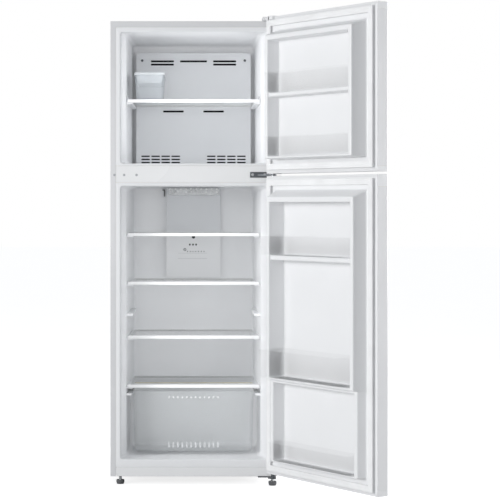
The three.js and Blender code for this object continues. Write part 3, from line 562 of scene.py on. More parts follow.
@dataclass(frozen=True)
class GasketVinyl:
    """Soft vinyl of the magnetic seals, dulled by handling: pale on the seal, dark grey in the copy that paints
    shade into its folds.
    """

    name: str
    colour: Colour

    def material(self) -> bpy.types.Material:
        """Builds the material."""
        tree = ShaderTree(self.name)
        tree.feed("Base Color", tree.tint(tree.noise(12.0, 3.0), self.colour, darker(self.colour, 0.08)))
        tree.gloss(tree.noise(60.0, 3.0), 0.5, 0.68)
        tree.relief((tree.noise(400.0, 1.0), 0.000008), (tree.noise(14.0, 0.0), 0.0002))
        tree.fix(IOR=1.45, Sheen_Weight=0.15, Sheen_Roughness=0.5)
        return tree.material


@dataclass(frozen=True)
class PlatedSteel:
    """Bare or plated metal with a rolled grain and cloudy patches."""

    name: str
    colour: Colour
    roughness: float
    metallic: float = 1.0
    grain: Point = (1.0, 14.0, 14.0)
    grain_height: float = 0.000005

    def material(self) -> bpy.types.Material:
        """Builds the material."""
        tree = ShaderTree(self.name)
        tree.feed("Base Color", tree.tint(tree.noise(26.0, 4.0), self.colour, darker(self.colour, 0.18)))
        tree.gloss(tree.noise(45.0, 3.0), self.roughness - 0.08, self.roughness + 0.12)
        tree.relief((tree.noise(110.0, 3.0, self.grain), self.grain_height))
        tree.fix(Metallic=self.metallic)
        return tree.material


@dataclass(frozen=True)
class SpangledZinc:
    """Hot dipped zinc with its crystal spangle."""

    name: str
    colour: Colour

    def material(self) -> bpy.types.Material:
        """Builds the material."""
        tree = ShaderTree(self.name)
        spangle = tree.cells(95.0, "Color")
        tree.feed("Base Color", tree.tint(spangle, self.colour, darker(self.colour, 0.3)))
        tree.gloss(spangle, 0.34, 0.56)
        tree.relief((tree.cells(95.0), 0.00004), (tree.noise(300.0, 2.0), 0.000005))
        tree.fix(Metallic=0.9)
        return tree.material


@dataclass(frozen=True)
class RigidFoam:
    """Foamed insulation with open cells where it was cut."""

    name: str
    colour: Colour

    def material(self) -> bpy.types.Material:
        """Builds the material."""
        tree = ShaderTree(self.name)
        tree.feed("Base Color", tree.tint(tree.noise(40.0, 4.0), self.colour, darker(self.colour, 0.2)))
        tree.relief((tree.cells(500.0), 0.0002), (tree.noise(30.0, 2.0), 0.001))
        tree.fix(Roughness=0.9, IOR=1.3)
        return tree.material


class Finish(Enum):
    """The finishes of the refrigerator."""

    CASE_PAINT = PaintedSteel("case_paint", (0.76, 0.762, 0.775))
    DOOR_PAINT = PaintedSteel("door_paint", (0.80, 0.80, 0.81), 0.3)
    LINER = MouldedPlastic("liner_white", (0.925, 0.932, 0.945), 0.34)
    DOOR_PANEL = MouldedPlastic("door_panel_white", (0.91, 0.915, 0.925), 0.34)
    TRIM = MouldedPlastic("trim_white", (0.90, 0.905, 0.91), 0.26, 400.0, 0.000001)
    CAP = MouldedPlastic("cap_white", (0.83, 0.832, 0.842), 0.34)
    COVER = MouldedPlastic("cover_grey_white", (0.80, 0.815, 0.835), 0.5, 350.0)
    HOUSING = MouldedPlastic("housing_white", (0.88, 0.885, 0.895), 0.4)
    PRINT = MouldedPlastic("print_grey", (0.05, 0.055, 0.06), 0.5)
    PLUG = MouldedPlastic("plug_grey", (0.50, 0.51, 0.53), 0.4)
    BIN = ClearPlastic("bin_clear", (0.93, 0.94, 0.95), 0.022)
    # A denser grey over the bins' rims, corners and foot: painted shade along the bends of the clear plastic.
    BIN_EDGE = ClearPlastic("bin_clear_edges", (0.55, 0.575, 0.60), 0.42)
    DRAWER = ClearPlastic("drawer_clear", (0.86, 0.89, 0.91), 0.20)
    # A denser white over the drawers' rims, corners and foot: painted highlight along the bends of the clear
    # plastic.
    DRAWER_EDGE = ClearPlastic("drawer_clear_edges", (0.93, 0.945, 0.955), 0.62)
    FROST = ClearPlastic("drawer_frosting", (0.95, 0.96, 0.97), 0.5, 0.35, 0.2)
    ICE_BIN = ClearPlastic("ice_bin_clear", (0.62, 0.67, 0.72), 0.2)
    TRAY = ClearPlastic("ice_tray_frosted", (0.78, 0.82, 0.85), 0.55, 0.3, 0.15)
    LENS = ClearPlastic("lamp_lens_clear", (0.74, 0.755, 0.77), 0.8, 0.2)
    GLASS = ClearPlastic("shelf_glass_clear", (0.83, 0.88, 0.875), 0.13, 0.02, 0.04)
    GLASS_EDGE = ClearPlastic("shelf_glass_edge", (0.17, 0.20, 0.21), 0.85, 0.15)
    GASKET = GasketVinyl("gasket_vinyl", (0.95, 0.952, 0.958))
    # A dark grey copy of the pale vinyl, laid on the bellows as painted shade in its folds.
    GASKET_FOLD = GasketVinyl("gasket_vinyl_folds", (0.20, 0.21, 0.24))
    BLACK_PLASTIC = MouldedPlastic("black_plastic", (0.030, 0.032, 0.035), 0.45, 400.0, 0.00001)
    FOOT = MouldedPlastic("foot_grey", (0.12, 0.123, 0.13), 0.5, 400.0, 0.00001)
    HINGE = PlatedSteel("hinge_plating", (0.13, 0.14, 0.15), 0.4, 0.7)
    BRIGHT_STEEL = PlatedSteel("bright_steel", (0.70, 0.71, 0.72), 0.24)
    SCREW = PlatedSteel("screw_zinc", (0.62, 0.63, 0.64), 0.32, 0.8)
    ZINC = SpangledZinc("base_zinc", (0.55, 0.57, 0.58))
    ENAMEL = MouldedPlastic("compressor_enamel", (0.012, 0.013, 0.014), 0.28, 380.0, 0.00001)
    ALUMINIUM = PlatedSteel("mill_aluminium", (0.74, 0.75, 0.76), 0.3)
    COPPER = PlatedSteel("drawn_copper", (0.76, 0.42, 0.28), 0.28)
    FOAM = RigidFoam("cut_foam", (0.80, 0.70, 0.42))
    # Near-black colour of the sheets behind the air cover's slots: painted shade of the closed air channel.
    CHANNEL = MouldedPlastic("channel_lining", (0.006, 0.006, 0.007), 0.9)

    def material(self) -> bpy.types.Material:
        """The finish's material, built the first time that it is asked for."""
        return bpy.data.materials.get(self.value.name) or self.value.material()


def paint(piece: bpy.types.Object, *finishes: Finish) -> None:
    """Gives a piece its finishes; the faces already know which one is theirs."""
    piece.data.materials.clear()
    for finish in finishes:
        piece.data.materials.append(finish.material())


def install(piece: bpy.types.Object, body: str, slot: str, *stands_for: str) -> bpy.types.Object:
    """Puts a finished piece on its body.

    Args:
        piece: The piece, painted and in place.
        body: The body that it moves with.
        slot: The record's material slot.
        stands_for: The nodes that it replaces.

    Returns:
        The piece.
    """
    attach(piece, body)
    if stands_for:
        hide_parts(*stands_for)
    log.info("%-34s %-16s %6d faces", piece.name, body, len(piece.data.polygons))
    return piece


def finished(
    name: str, shape: bmesh.types.BMesh, place: Matrix, *finishes: Finish, crease: float = CREASE
) -> bpy.types.Object:
    """A shape made an object, evenly shaded and painted.

    Args:
        name: The object's name.
        shape: Its shape, which is freed.
        place: The matrix from the shape's frame to the model's frame.
        finishes: Its finishes, in the order that its faces count them.
        crease: Edges that turn by more than this stay sharp.

    Returns:
        The object, not yet on a body.
    """
    piece = even_shading(object_of(name, shape, place, crease))
    paint(piece, *finishes)
    return piece


def refined(
    node: str,
    finish: Finish,
    rounding: float,
    steps: int = 2,
    place: Matrix = CABINET,
    reshape: Callable[[bmesh.types.BMesh], None] | None = None,
    crease: float = CREASE,
) -> bpy.types.Object:
    """A node's own shape with its edges rounded and its round faces smooth, standing for that node.

    Args:
        node: The node to finish.
        finish: Its finish.
        rounding: How far the rounding reaches from each edge; 0 leaves the edges sharp.
        steps: The number of faces across a rounded edge.
        place: The frame that reshape works in.
        reshape: A change made to the shape before its edges are rounded.
        crease: Edges that turn by more than this are rounded.

    Returns:
        The installed piece.
    """
    shape = merged(node, place)
    if reshape:
        reshape(shape)
    if rounding > 0:
        soften(shape, sharp_edges(shape, crease), rounding, steps)
    piece = finished(f"{node}_finished", shape, place, finish, crease=ROUND_CREASE)
    return install(piece, BODY_OF[node], SLOT_OF[node], node)


def dressed(node: str, finish: Finish) -> None:
    """Paints a node that is shown as it is."""
    paint(frame["nodes"][node], finish)
    log.info("%-34s %-16s carried", node, BODY_OF[node])


# ---- Patterns that repeat --------------------------------------------------------------------------


class PatternTree:
    """A geometry node tree that sets one small shape on every point of a mesh."""

    def __init__(self, name: str) -> None:
        """Starts the tree with its points and finish as inputs.

        Args:
            name: The tree's name.
        """
        self.group = bpy.data.node_groups.new(name, "GeometryNodeTree")
        self.names: dict[str, str] = {}
        self.group.interface.new_socket("Geometry", in_out="OUTPUT", socket_type="NodeSocketGeometry")
        self.ask("Points", "NodeSocketGeometry")
        self.ask("Finish", "NodeSocketMaterial")
        self.entry = self.group.nodes.new("NodeGroupInput")

    def ask(self, name: str, kind: str = "NodeSocketFloat") -> None:
        """Adds a named input."""
        item = self.group.interface.new_socket(name, in_out="INPUT", socket_type=kind)
        self.names[name] = item.identifier

    def node(self, kind: str, **values: object) -> bpy.types.Node:
        """Adds a node.

        Args:
            kind: The node's type.
            values: A plain value, a socket, or an input's name after "=" for each of its inputs.

        Returns:
            The node.
        """
        made = self.group.nodes.new(kind)
        for name, value in values.items():
            socket = made.inputs[name.replace("_", " ")]
            if isinstance(value, str) and value.startswith("="):
                self.group.links.new(self.entry.outputs[value[1:]], socket)
            elif isinstance(value, bpy.types.NodeSocket):
                self.group.links.new(value, socket)
            else:
                socket.default_value = value
        return made

    def vector(self, x: object = 0.0, y: object = 0.0, z: object = 0.0) -> bpy.types.NodeSocket:
        """A vector of plain values or inputs."""
        return self.node("ShaderNodeCombineXYZ", X=x, Y=y, Z=z).outputs[0]

    def low_ball(self, segments: int, rings: int) -> bpy.types.NodeSocket:
        """A ball pressed flat along Y, by the tree's Radius and Height."""
        ball = self.node("GeometryNodeMeshUVSphere", Segments=segments, Rings=rings, Radius=1.0)
        pressed = self.vector("=Radius", "=Height", "=Radius")
        return self.node("GeometryNodeTransform", Geometry=ball.outputs[0], Scale=pressed).outputs[0]

    def close(self, shape: bpy.types.NodeSocket) -> "PatternTree":
        """Sets the shape on every point, makes it real and gives it the finish."""
        spread = self.node("GeometryNodeInstanceOnPoints", Points="=Points", Instance=shape)
        real = self.node("GeometryNodeRealizeInstances", Geometry=spread.outputs[0])
        done = self.node("GeometryNodeSetMaterial", Geometry=real.outputs[0], Material="=Finish")
        output = self.group.nodes.new("NodeGroupOutput")
        self.group.links.new(done.outputs[0], output.inputs[0])
        return self


def bar_tree() -> PatternTree:
    """Bars along Y with a rounded section: ribs, ticks, fins and teeth."""
    tree = PatternTree("rounded_bars")
    for name in ("Width", "Height", "Length", "Rounding"):
        tree.ask(name)
    section = tree.node("GeometryNodeCurvePrimitiveQuadrilateral", Width="=Width", Height="=Height")
    rounded = tree.node("GeometryNodeFilletCurve", Curve=section.outputs[0], Radius="=Rounding")
    rounded.mode = "POLY"
    rounded.inputs["Count"].default_value = 2
    ends = []
    for share in (-0.5, 0.5):
        end = tree.node("ShaderNodeMath", Value="=Length")
        end.operation = "MULTIPLY"
        end.inputs[1].default_value = share
        ends.append(tree.vector(y=end.outputs[0]))
    line = tree.node("GeometryNodeCurvePrimitiveLine", Start=ends[0], End=ends[1])
    line, profile = line.outputs[0], rounded.outputs[0]
    bar = tree.node("GeometryNodeCurveToMesh", Curve=line, Profile_Curve=profile, Fill_Caps=True)
    return tree.close(bar.outputs[0])


def dome_tree() -> PatternTree:
    """Low round domes on the XZ plane: lens dots and hole plugs."""
    tree = PatternTree("low_domes")
    for name in ("Radius", "Height"):
        tree.ask(name)
    return tree.close(tree.low_ball(14, 7))


def screw_tree() -> PatternTree:
    """Pan head screws that face -Y, with a cross recess."""
    tree = PatternTree("pan_head_screws")
    for name in ("Radius", "Height", "Recess"):
        tree.ask(name)
    carved = tree.low_ball(20, 10)
    across = tree.node("GeometryNodeMeshCube", Size=tree.vector("=Radius", "=Height", "=Recess"))
    along = tree.node("GeometryNodeMeshCube", Size=tree.vector("=Recess", "=Height", "=Radius"))
    bars = [
        tree.node("GeometryNodeTransform", Geometry=bar.outputs[0], Translation=tree.vector(y=-0.0013))
        for bar in (across, along)
    ]
    for bar in bars:
        difference = tree.node("GeometryNodeMeshBoolean")
        difference.operation = "DIFFERENCE"
        difference.solver = "EXACT"
        tree.group.links.new(carved, difference.inputs["Mesh 1"])
        tree.group.links.new(bar.outputs[0], difference.inputs["Mesh 2"])
        carved = difference.outputs["Mesh"]
    return tree.close(carved)


TREES = {"bars": bar_tree(), "domes": dome_tree(), "screws": screw_tree()}


def repeated(
    name: str,
    kind: str,
    points: Iterable[Point],
    finish: Finish,
    slot: str,
    sizes: dict[str, float],
    place: Matrix = CABINET,
    body: str = "root",
    stands_for: Sequence[str] = (),
) -> bpy.types.Object:
    """A piece made of one small shape on every point.

    Args:
        name: The piece's name.
        kind: Which tree makes the shape.
        points: Where the shapes stand, in the piece's frame.
        finish: Their finish.
        slot: The record's material slot.
        sizes: The tree's inputs, in metres.
        place: The matrix from the piece's frame to the model's frame.
        body: The body that it moves with.
        stands_for: The nodes that it replaces.

    Returns:
        The installed piece, which is a plain mesh.
    """
    mesh = bpy.data.meshes.new(name)
    mesh.from_pydata([tuple(point) for point in points], [], [])
    piece = bpy.data.objects.new(name, mesh)
    bpy.context.scene.collection.objects.link(piece)
    tree = TREES[kind]
    modifier = piece.modifiers.new(kind, "NODES")
    modifier.node_group = tree.group
    modifier[tree.names["Finish"]] = finish.material()
    for size, value in sizes.items():
        modifier[tree.names[size]] = value
    settle(piece)
    piece.data.transform(place)
    shape = bmesh.new()
    shape.from_mesh(piece.data)
    mark_creases(shape, CREASE)
    shape.to_mesh(piece.data)
    shape.free()
    return install(piece, body, slot, *stands_for)


# ---- Open boxes ------------------------------------------------------------------------------------


@dataclass(frozen=True)
class SunkPanel:
    """A panel that lies a little deeper than the frame round it."""

    direction: Point
    margins: tuple[float, ...]
    depth: float

    def press(self, shape: bmesh.types.BMesh) -> None:
        """Sinks the middle of the largest face that looks in the direction, in one step for each margin."""
        ahead = Vector(self.direction)
        face = max(shape.faces, key=lambda f: f.calc_area() * max(f.normal.dot(ahead), 0.0) ** 4)
        for margin in self.margins:
            bmesh.ops.inset_individual(shape, faces=[face], thickness=margin, depth=0.0, use_even_offset=True)
            for vertex in face.verts:
                vertex.co -= face.normal * (self.depth / len(self.margins))


@dataclass
class OpenBox:
    """A moulded open box with round corners, a round foot and a rim."""

    low: Vector
    high: Vector
    draft: tuple[float, float, float]
    wall: float = 0.0022
    rim: float = 0.0015
    rim_height: float = 0.004
    corner: float = 0.012
    fillet: float = 0.008
    steps: int = 6

    def outline(self, z: float, inset: float) -> Ring:
        """The outline at one height, a distance inside the drafted wall."""
        share = (self.high.z - z) / (self.high.z - self.low.z)
        side, back, front = (self.rim + share * (drop - self.rim) + inset for drop in self.draft)
        radius = max(self.corner - inset, 0.0012)
        x = (self.low.x + side, self.high.x - side)
        y = (self.low.y + back, self.high.y - front)
        return level(rounded_rectangle(x, y, radius, self.steps), z)

    def rings(self) -> list[Ring]:
        """The rings from the middle of the underside, over the rim, to the floor inside."""
        low, high, edge = self.low.z, self.high.z, 0.0006
        outside = [
            self.outline(low + self.fillet * (1 - math.cos(t)), self.fillet * (1 - math.sin(t)))
            for t in arc(self.steps)
        ]
        flange = [
            self.outline(high - self.rim_height, 0.0),
            self.outline(high - self.rim_height, edge - self.rim),
            self.outline(high - self.rim_height + edge, -self.rim),
            self.outline(high - edge, -self.rim),
            self.outline(high, edge - self.rim),
            self.outline(high, self.wall - edge),
            self.outline(high - edge, self.wall),
        ]
        hollow = max(self.fillet - self.wall, 0.001)
        inside = [
            self.outline(low + self.wall + hollow * (1 - math.cos(t)), self.wall + hollow * (1 - math.sin(t)))
            for t in reversed(arc(self.steps))
        ]
        return outside + flange + inside

    def shape(self) -> bmesh.types.BMesh:
        """The closed body; its rim, its upright corners and its foot's edge take the second finish, which on clear
        boxes paints the highlight and shade of these bends.
        """
        shape = loft(self.rings())
        for face in shape.faces:
            x, y, z = (abs(value) for value in face.normal)
            on_rim = face.calc_center_median().z > self.high.z - self.rim_height - TOUCH
            at_corner = min(x, y) > 0.5
            at_foot = 0.35 < z < 0.94
            # Rim, corner and foot faces take the second finish: on clear boxes, painted highlight and shade of the
            # bends.
            face.material_index = 1 if on_rim or at_corner or at_foot else 0
        return shape

    def stand_for(
        self,
        node: str,
        finishes: tuple[Finish, Finish],
        panel: SunkPanel | None = None,
        place: Matrix = CABINET,
    ) -> None:
        """Builds and installs the box in a node's stead.

        Args:
            node: The node that it replaces.
            finishes: The finish of its walls, and of its edges, which on clear boxes carries their painted
                highlight and shade.
            panel: The panel that is sunk in its front, if it has one.
            place: The matrix from its frame to the model's frame.
        """
        shape = self.shape()
        if panel:
            panel.press(shape)
        install(finished(f"{node}_finished", shape, place, *finishes), BODY_OF[node], SLOT_OF[node], node)


# ---- Cabinet ---------------------------------------------------------------------------------------


@dataclass
class Cabinet:
    """The steel case, its back panel and base, the strips between the liners, and their small parts."""

    plug_x: tuple[float, ...] = (-0.2620, -0.230, -0.1886)
    plug_z: float = 1.0255
    bead: float = 0.0009
    sheet: float = 0.0008
    screw_pitch: float = 0.19
    screw_edge: float = 0.010
    end_screw_x: tuple[float, ...] = (-0.13, 0.0, 0.13)

    def build(self) -> None:
        """Builds and installs every piece."""
        refined("outer_case", Finish.CASE_PAINT, 0.0006)
        refined("base_frame", Finish.ZINC, 0.0004, 1)
        refined("mullion_cover", Finish.TRIM, 0.0006)
        refined("front_rail", Finish.TRIM, 0.0016, 3)
        dressed("cabinet_foam", Finish.FOAM)
        self.back_panel()
        self.back_screws()
        self.hole_plugs()

    def back_panel(self) -> None:
        """The rear sheet, with stiffening beads pressed into it."""
        low, high = box_in("back_panel", CABINET)
        columns = self.bead_lines(low.x, high.x, (0.06, 0.94))
        rows = self.bead_lines(low.z, high.z, (0.04, 0.34, 0.36, 0.64, 0.66, 0.96))
        shape = bmesh.new()
        grid = [[shape.verts.new((x, high.y, z)) for x, _ in columns] for z, _ in rows]
        for (_, deep_row), line in zip(rows, grid):
            for (_, deep_column), vertex in zip(columns, line):
                vertex.co.y -= self.bead * max(deep_row, deep_column) * self.inside(vertex.co, low, high)
        for under, over in zip(grid, grid[1:]):
            for i in range(len(under) - 1):
                shape.faces.new((under[i + 1], under[i], over[i], over[i + 1]))
        panel = object_of("back_panel_finished", shape, CABINET)
        thicken(panel, self.sheet)
        paint(panel, Finish.CASE_PAINT)
        install(panel, "root", SLOT_OF["back_panel"], "back_panel")

    @staticmethod
    def bead_lines(start: float, end: float, shares: Sequence[float]) -> list[tuple[float, float]]:
        """The grid lines across a panel with how deep each is pressed, from 0 to 1."""
        lines = {start: 0.0, end: 0.0}
        slope = ((0.009, 0.0), (0.006, 0.5), (0.003, 1.0))
        for share in shares:
            middle = start + (end - start) * share
            for offset, depth in slope:
                lines[middle - offset] = lines[middle + offset] = depth
        return sorted(lines.items())

    @staticmethod
    def inside(point: Vector, low: Vector, high: Vector) -> float:
        """1 within the beaded field of the panel, and 0 in its plain border."""
        clear_x = min(point.x - low.x, high.x - point.x) / (high.x - low.x)
        clear_z = min(point.z - low.z, high.z - point.z) / (high.z - low.z)
        return 1.0 if clear_x > 0.04 and clear_z > 0.03 else 0.0

    def back_screws(self) -> None:
        """The screws round the edge of the rear sheet."""
        low, high = box_in("back_panel", CABINET)
        edge = self.screw_edge
        count = round((high.z - low.z) / self.screw_pitch)
        heights = [low.z + edge + (high.z - low.z - 2 * edge) * i / count for i in range(count + 1)]
        points = [(side * (HALF_WIDTH - edge), 0.0, z) for side in (-1, 1) for z in heights]
        points += [(x, 0.0, z) for x in self.end_screw_x for z in (low.z + edge, high.z - edge)]
        sizes = {"Radius": 0.0038, "Height": 0.0018, "Recess": 0.0009}
        face = Matrix.Translation((0.0, high.y - sizes["Height"], 0.0))
        turned = CABINET @ face @ Matrix.Rotation(math.pi, 4, "Z")
        repeated("back_panel_screws", "screws", points, Finish.SCREW, "hinge_steel", sizes, turned)

    def hole_plugs(self) -> None:
        """The caps over the unused hinge holes, for hanging the doors on the other side."""
        points = [(x, -0.0001, self.plug_z) for x in self.plug_x]
        sizes = {"Radius": 0.0042, "Height": 0.0012}
        repeated("hinge_hole_plugs", "domes", points, Finish.PLUG, "trim_plastic", sizes)


# ---- Liners ----------------------------------------------------------------------------------------


@dataclass
class Liner:
    """A compartment's formed liner: its front flange, round mouth, drafted walls and round corners."""

    node: str
    straight: float
    back: float
    bottom: float
    top: float
    mouth: float = 0.2416
    seat: float = 0.080
    depth: float = 0.470
    wall: float = 0.002
    lip: float = 0.003
    corner: float = 0.014
    mouth_share: float = 0.7
    fillet: float = 0.012
    hump_front: float = 0.0
    hump_top: float = 0.0
    hump_draft: float = 0.008

    def half_at(self, y: float) -> float:
        """Half the inside width at a depth."""
        if y < self.seat:
            return self.mouth + (self.straight - self.mouth) * y / self.seat
        return self.straight + (self.back - self.straight) * (y - self.seat) / (self.depth - self.seat)

    def section(
        self, y: float, inset: float = 0.0, floor: float | None = None, radius: float | None = None
    ) -> Ring:
        """The inside outline at a depth.

        Args:
            y: The depth.
            inset: How far it lies inside the walls.
            floor: The floor's height there, if it isn't the compartment's bottom.
            radius: The corners' radius, if it isn't the liner's own.

        Returns:
            The ring.
        """
        half = self.half_at(y) - inset
        low = (self.bottom if floor is None else floor) + inset
        rounding = max((self.corner if radius is None else radius) - max(inset, 0.0), 0.002)
        return upright(rounded_rectangle((-half, half), (low, self.top - inset), rounding), y)

    def flange(self) -> list[Ring]:
        """The flange round the mouth, from its outer edge into the opening."""
        low, high = box_in(self.node, CABINET)
        outer = rounded_rectangle((low.x, high.x), (low.z, high.z), 0.002)
        rings = [upright(outer, 0.0)]
        for turn in arc(4):
            depth = self.lip * (1 - math.cos(turn))
            out = self.lip * (1 - math.sin(turn))
            half = self.mouth + out
            radius = self.corner * self.mouth_share + out
            outline = rounded_rectangle((-half, half), (self.bottom - out, self.top + out), radius)
            rings.append(upright(outline, depth))
        return rings

    def hump(self) -> list[Ring]:
        """The rings where the floor climbs over the compressor bay."""
        rise = self.hump_top - self.bottom
        foot = self.hump_front - self.hump_draft
        radius = self.fillet
        rings = []
        for turn in arc(5):
            y = foot - radius + radius * math.sin(turn) * 0.98
            rings.append(self.section(y, floor=self.bottom + radius * (1 - math.cos(turn))))
        for turn in arc(5):
            y = self.hump_front + radius * (1 - math.cos(turn)) * 0.98
            rings.append(self.section(y, floor=self.bottom + rise - radius * (1 - math.sin(turn))))
        return rings

    def rings(self) -> list[Ring]:
        """Every ring from the flange to the back wall."""
        rings = self.flange()
        for y, blend in ((0.03, 0.8), (0.066, 0.95), (0.080, 1.0), (0.094, 1.0)):
            rings.append(self.section(y, radius=self.corner * blend))
        last_floor = self.bottom
        if self.hump_front > 0:
            rings += [self.section(0.2)] + self.hump()
            last_floor = self.hump_top
        for turn in arc(5):
            y = self.depth - self.fillet * (1 - math.sin(turn))
            rings.append(self.section(y, self.fillet * (1 - math.cos(turn)), last_floor))
        return rings

    def build(self) -> None:
        """Builds and installs the liner."""
        shape = loft(self.rings(), (False, True))
        middle = Vector((0.0, self.depth / 2, (self.bottom + self.top) / 2))
        back = max(shape.faces, key=lambda face: len(face.verts))
        if back.normal.dot(middle - back.calc_center_median()) < 0:
            bmesh.ops.reverse_faces(shape, faces=shape.faces)
        piece = object_of(f"{self.node}_finished", shape, CABINET, SOFT_CREASE)
        thicken(piece, self.wall)
        even_shading(piece)
        paint(piece, Finish.LINER)
        install(piece, BODY_OF[self.node], SLOT_OF[self.node], self.node)

    def ribs(self, name: str, tops: Sequence[float], inner: float, ends: tuple[float, float]) -> None:
        """The ribs on both side walls that carry shelves.

        Args:
            name: The piece's name.
            tops: The height of each pair's upper face.
            inner: How far from the middle their inner faces are.
            ends: Where they start and end in depth.
        """
        height = 0.008
        outer = self.half_at(ends[0]) + self.wall / 2
        x = (inner + outer) / 2
        middle = (ends[0] + ends[1]) / 2
        points = [(side * x, middle, top - height / 2) for side in (-1, 1) for top in tops]
        sizes = {"Width": outer - inner, "Height": height, "Length": ends[1] - ends[0], "Rounding": 0.0022}
        repeated(name, "bars", points, Finish.LINER, "liner_plastic", sizes)


# ---- Shelves ---------------------------------------------------------------------------------------


@dataclass
class Shelf:
    """A clear sheet in the white moulding along its front edge."""

    sheet: str
    trim: str
    hooks: bool = False

    def build(self) -> None:
        """Builds and installs the sheet, its moulding and its end hooks."""
        self.glass()
        refined(self.trim, Finish.TRIM, 0.0016, 3)
        self.rear_strip()
        if self.hooks:
            self.end_hooks()

    def glass(self) -> None:
        """The sheet with ground edges, which look darker than its faces."""
        shape = merged(self.sheet, CABINET)
        soften(shape, sharp_edges(shape, CREASE), 0.0007, 2)
        for face in shape.faces:
            face.material_index = 0 if abs(face.normal.z) > 0.9 else 1
        piece = finished(f"{self.sheet}_finished", shape, CABINET, Finish.GLASS, Finish.GLASS_EDGE)
        install(piece, BODY_OF[self.sheet], SLOT_OF[self.sheet], self.sheet)

    def rear_strip(self) -> None:
        """The slim strip clipped over the sheet's rear edge."""
        piece = OpenStrip(*box_in(self.sheet, CABINET)).build(f"{self.sheet}_rear_strip")
        paint(piece, Finish.TRIM)
        install(piece, BODY_OF[self.sheet], "trim_plastic")

    def end_hooks(self) -> None:
        """The upturned stops at both ends of the moulding."""
        low, high = box_in(self.trim, CABINET)
        points = [(side * (high.x - 0.002), low.y + 0.006, high.z + 0.003) for side in (-1, 1)]
        sizes = {"Width": 0.0034, "Height": 0.014, "Length": 0.011, "Rounding": 0.0012}
        repeated(f"{self.trim}_stops", "bars", points, Finish.PLUG, "trim_plastic", sizes)


@dataclass
class OpenStrip:
    """A C shaped strip that clips over a sheet's rear edge."""

    low: Vector
    high: Vector
    reach: float = 0.007
    wall: float = 0.0012
    gap: float = 0.0002
    bevel: float = 0.0008
    end: float = 0.004

    def build(self, name: str) -> bpy.types.Object:
        """The strip along X as a closed body."""
        y0, y1 = self.high.y - self.reach, self.high.y + self.wall + self.gap
        z0, z1 = self.low.z - self.wall - self.gap, self.high.z + self.wall + self.gap
        inner_y = self.high.y + self.gap
        inside = (self.low.z - self.gap, self.high.z + self.gap)
        cut = self.bevel
        profile = [
            (y0, z0), (y1 - cut, z0), (y1, z0 + cut), (y1, z1 - cut), (y1 - cut, z1), (y0, z1),
            (y0, inside[1]), (inner_y, inside[1]), (inner_y, inside[0]), (y0, inside[0]),
        ]
        ends = (self.low.x + self.end, self.high.x - self.end)
        return object_of(name, loft([[Vector((x, y, z)) for y, z in profile] for x in ends]), CABINET)


# ---- Freezer compartment ---------------------------------------------------------------------------


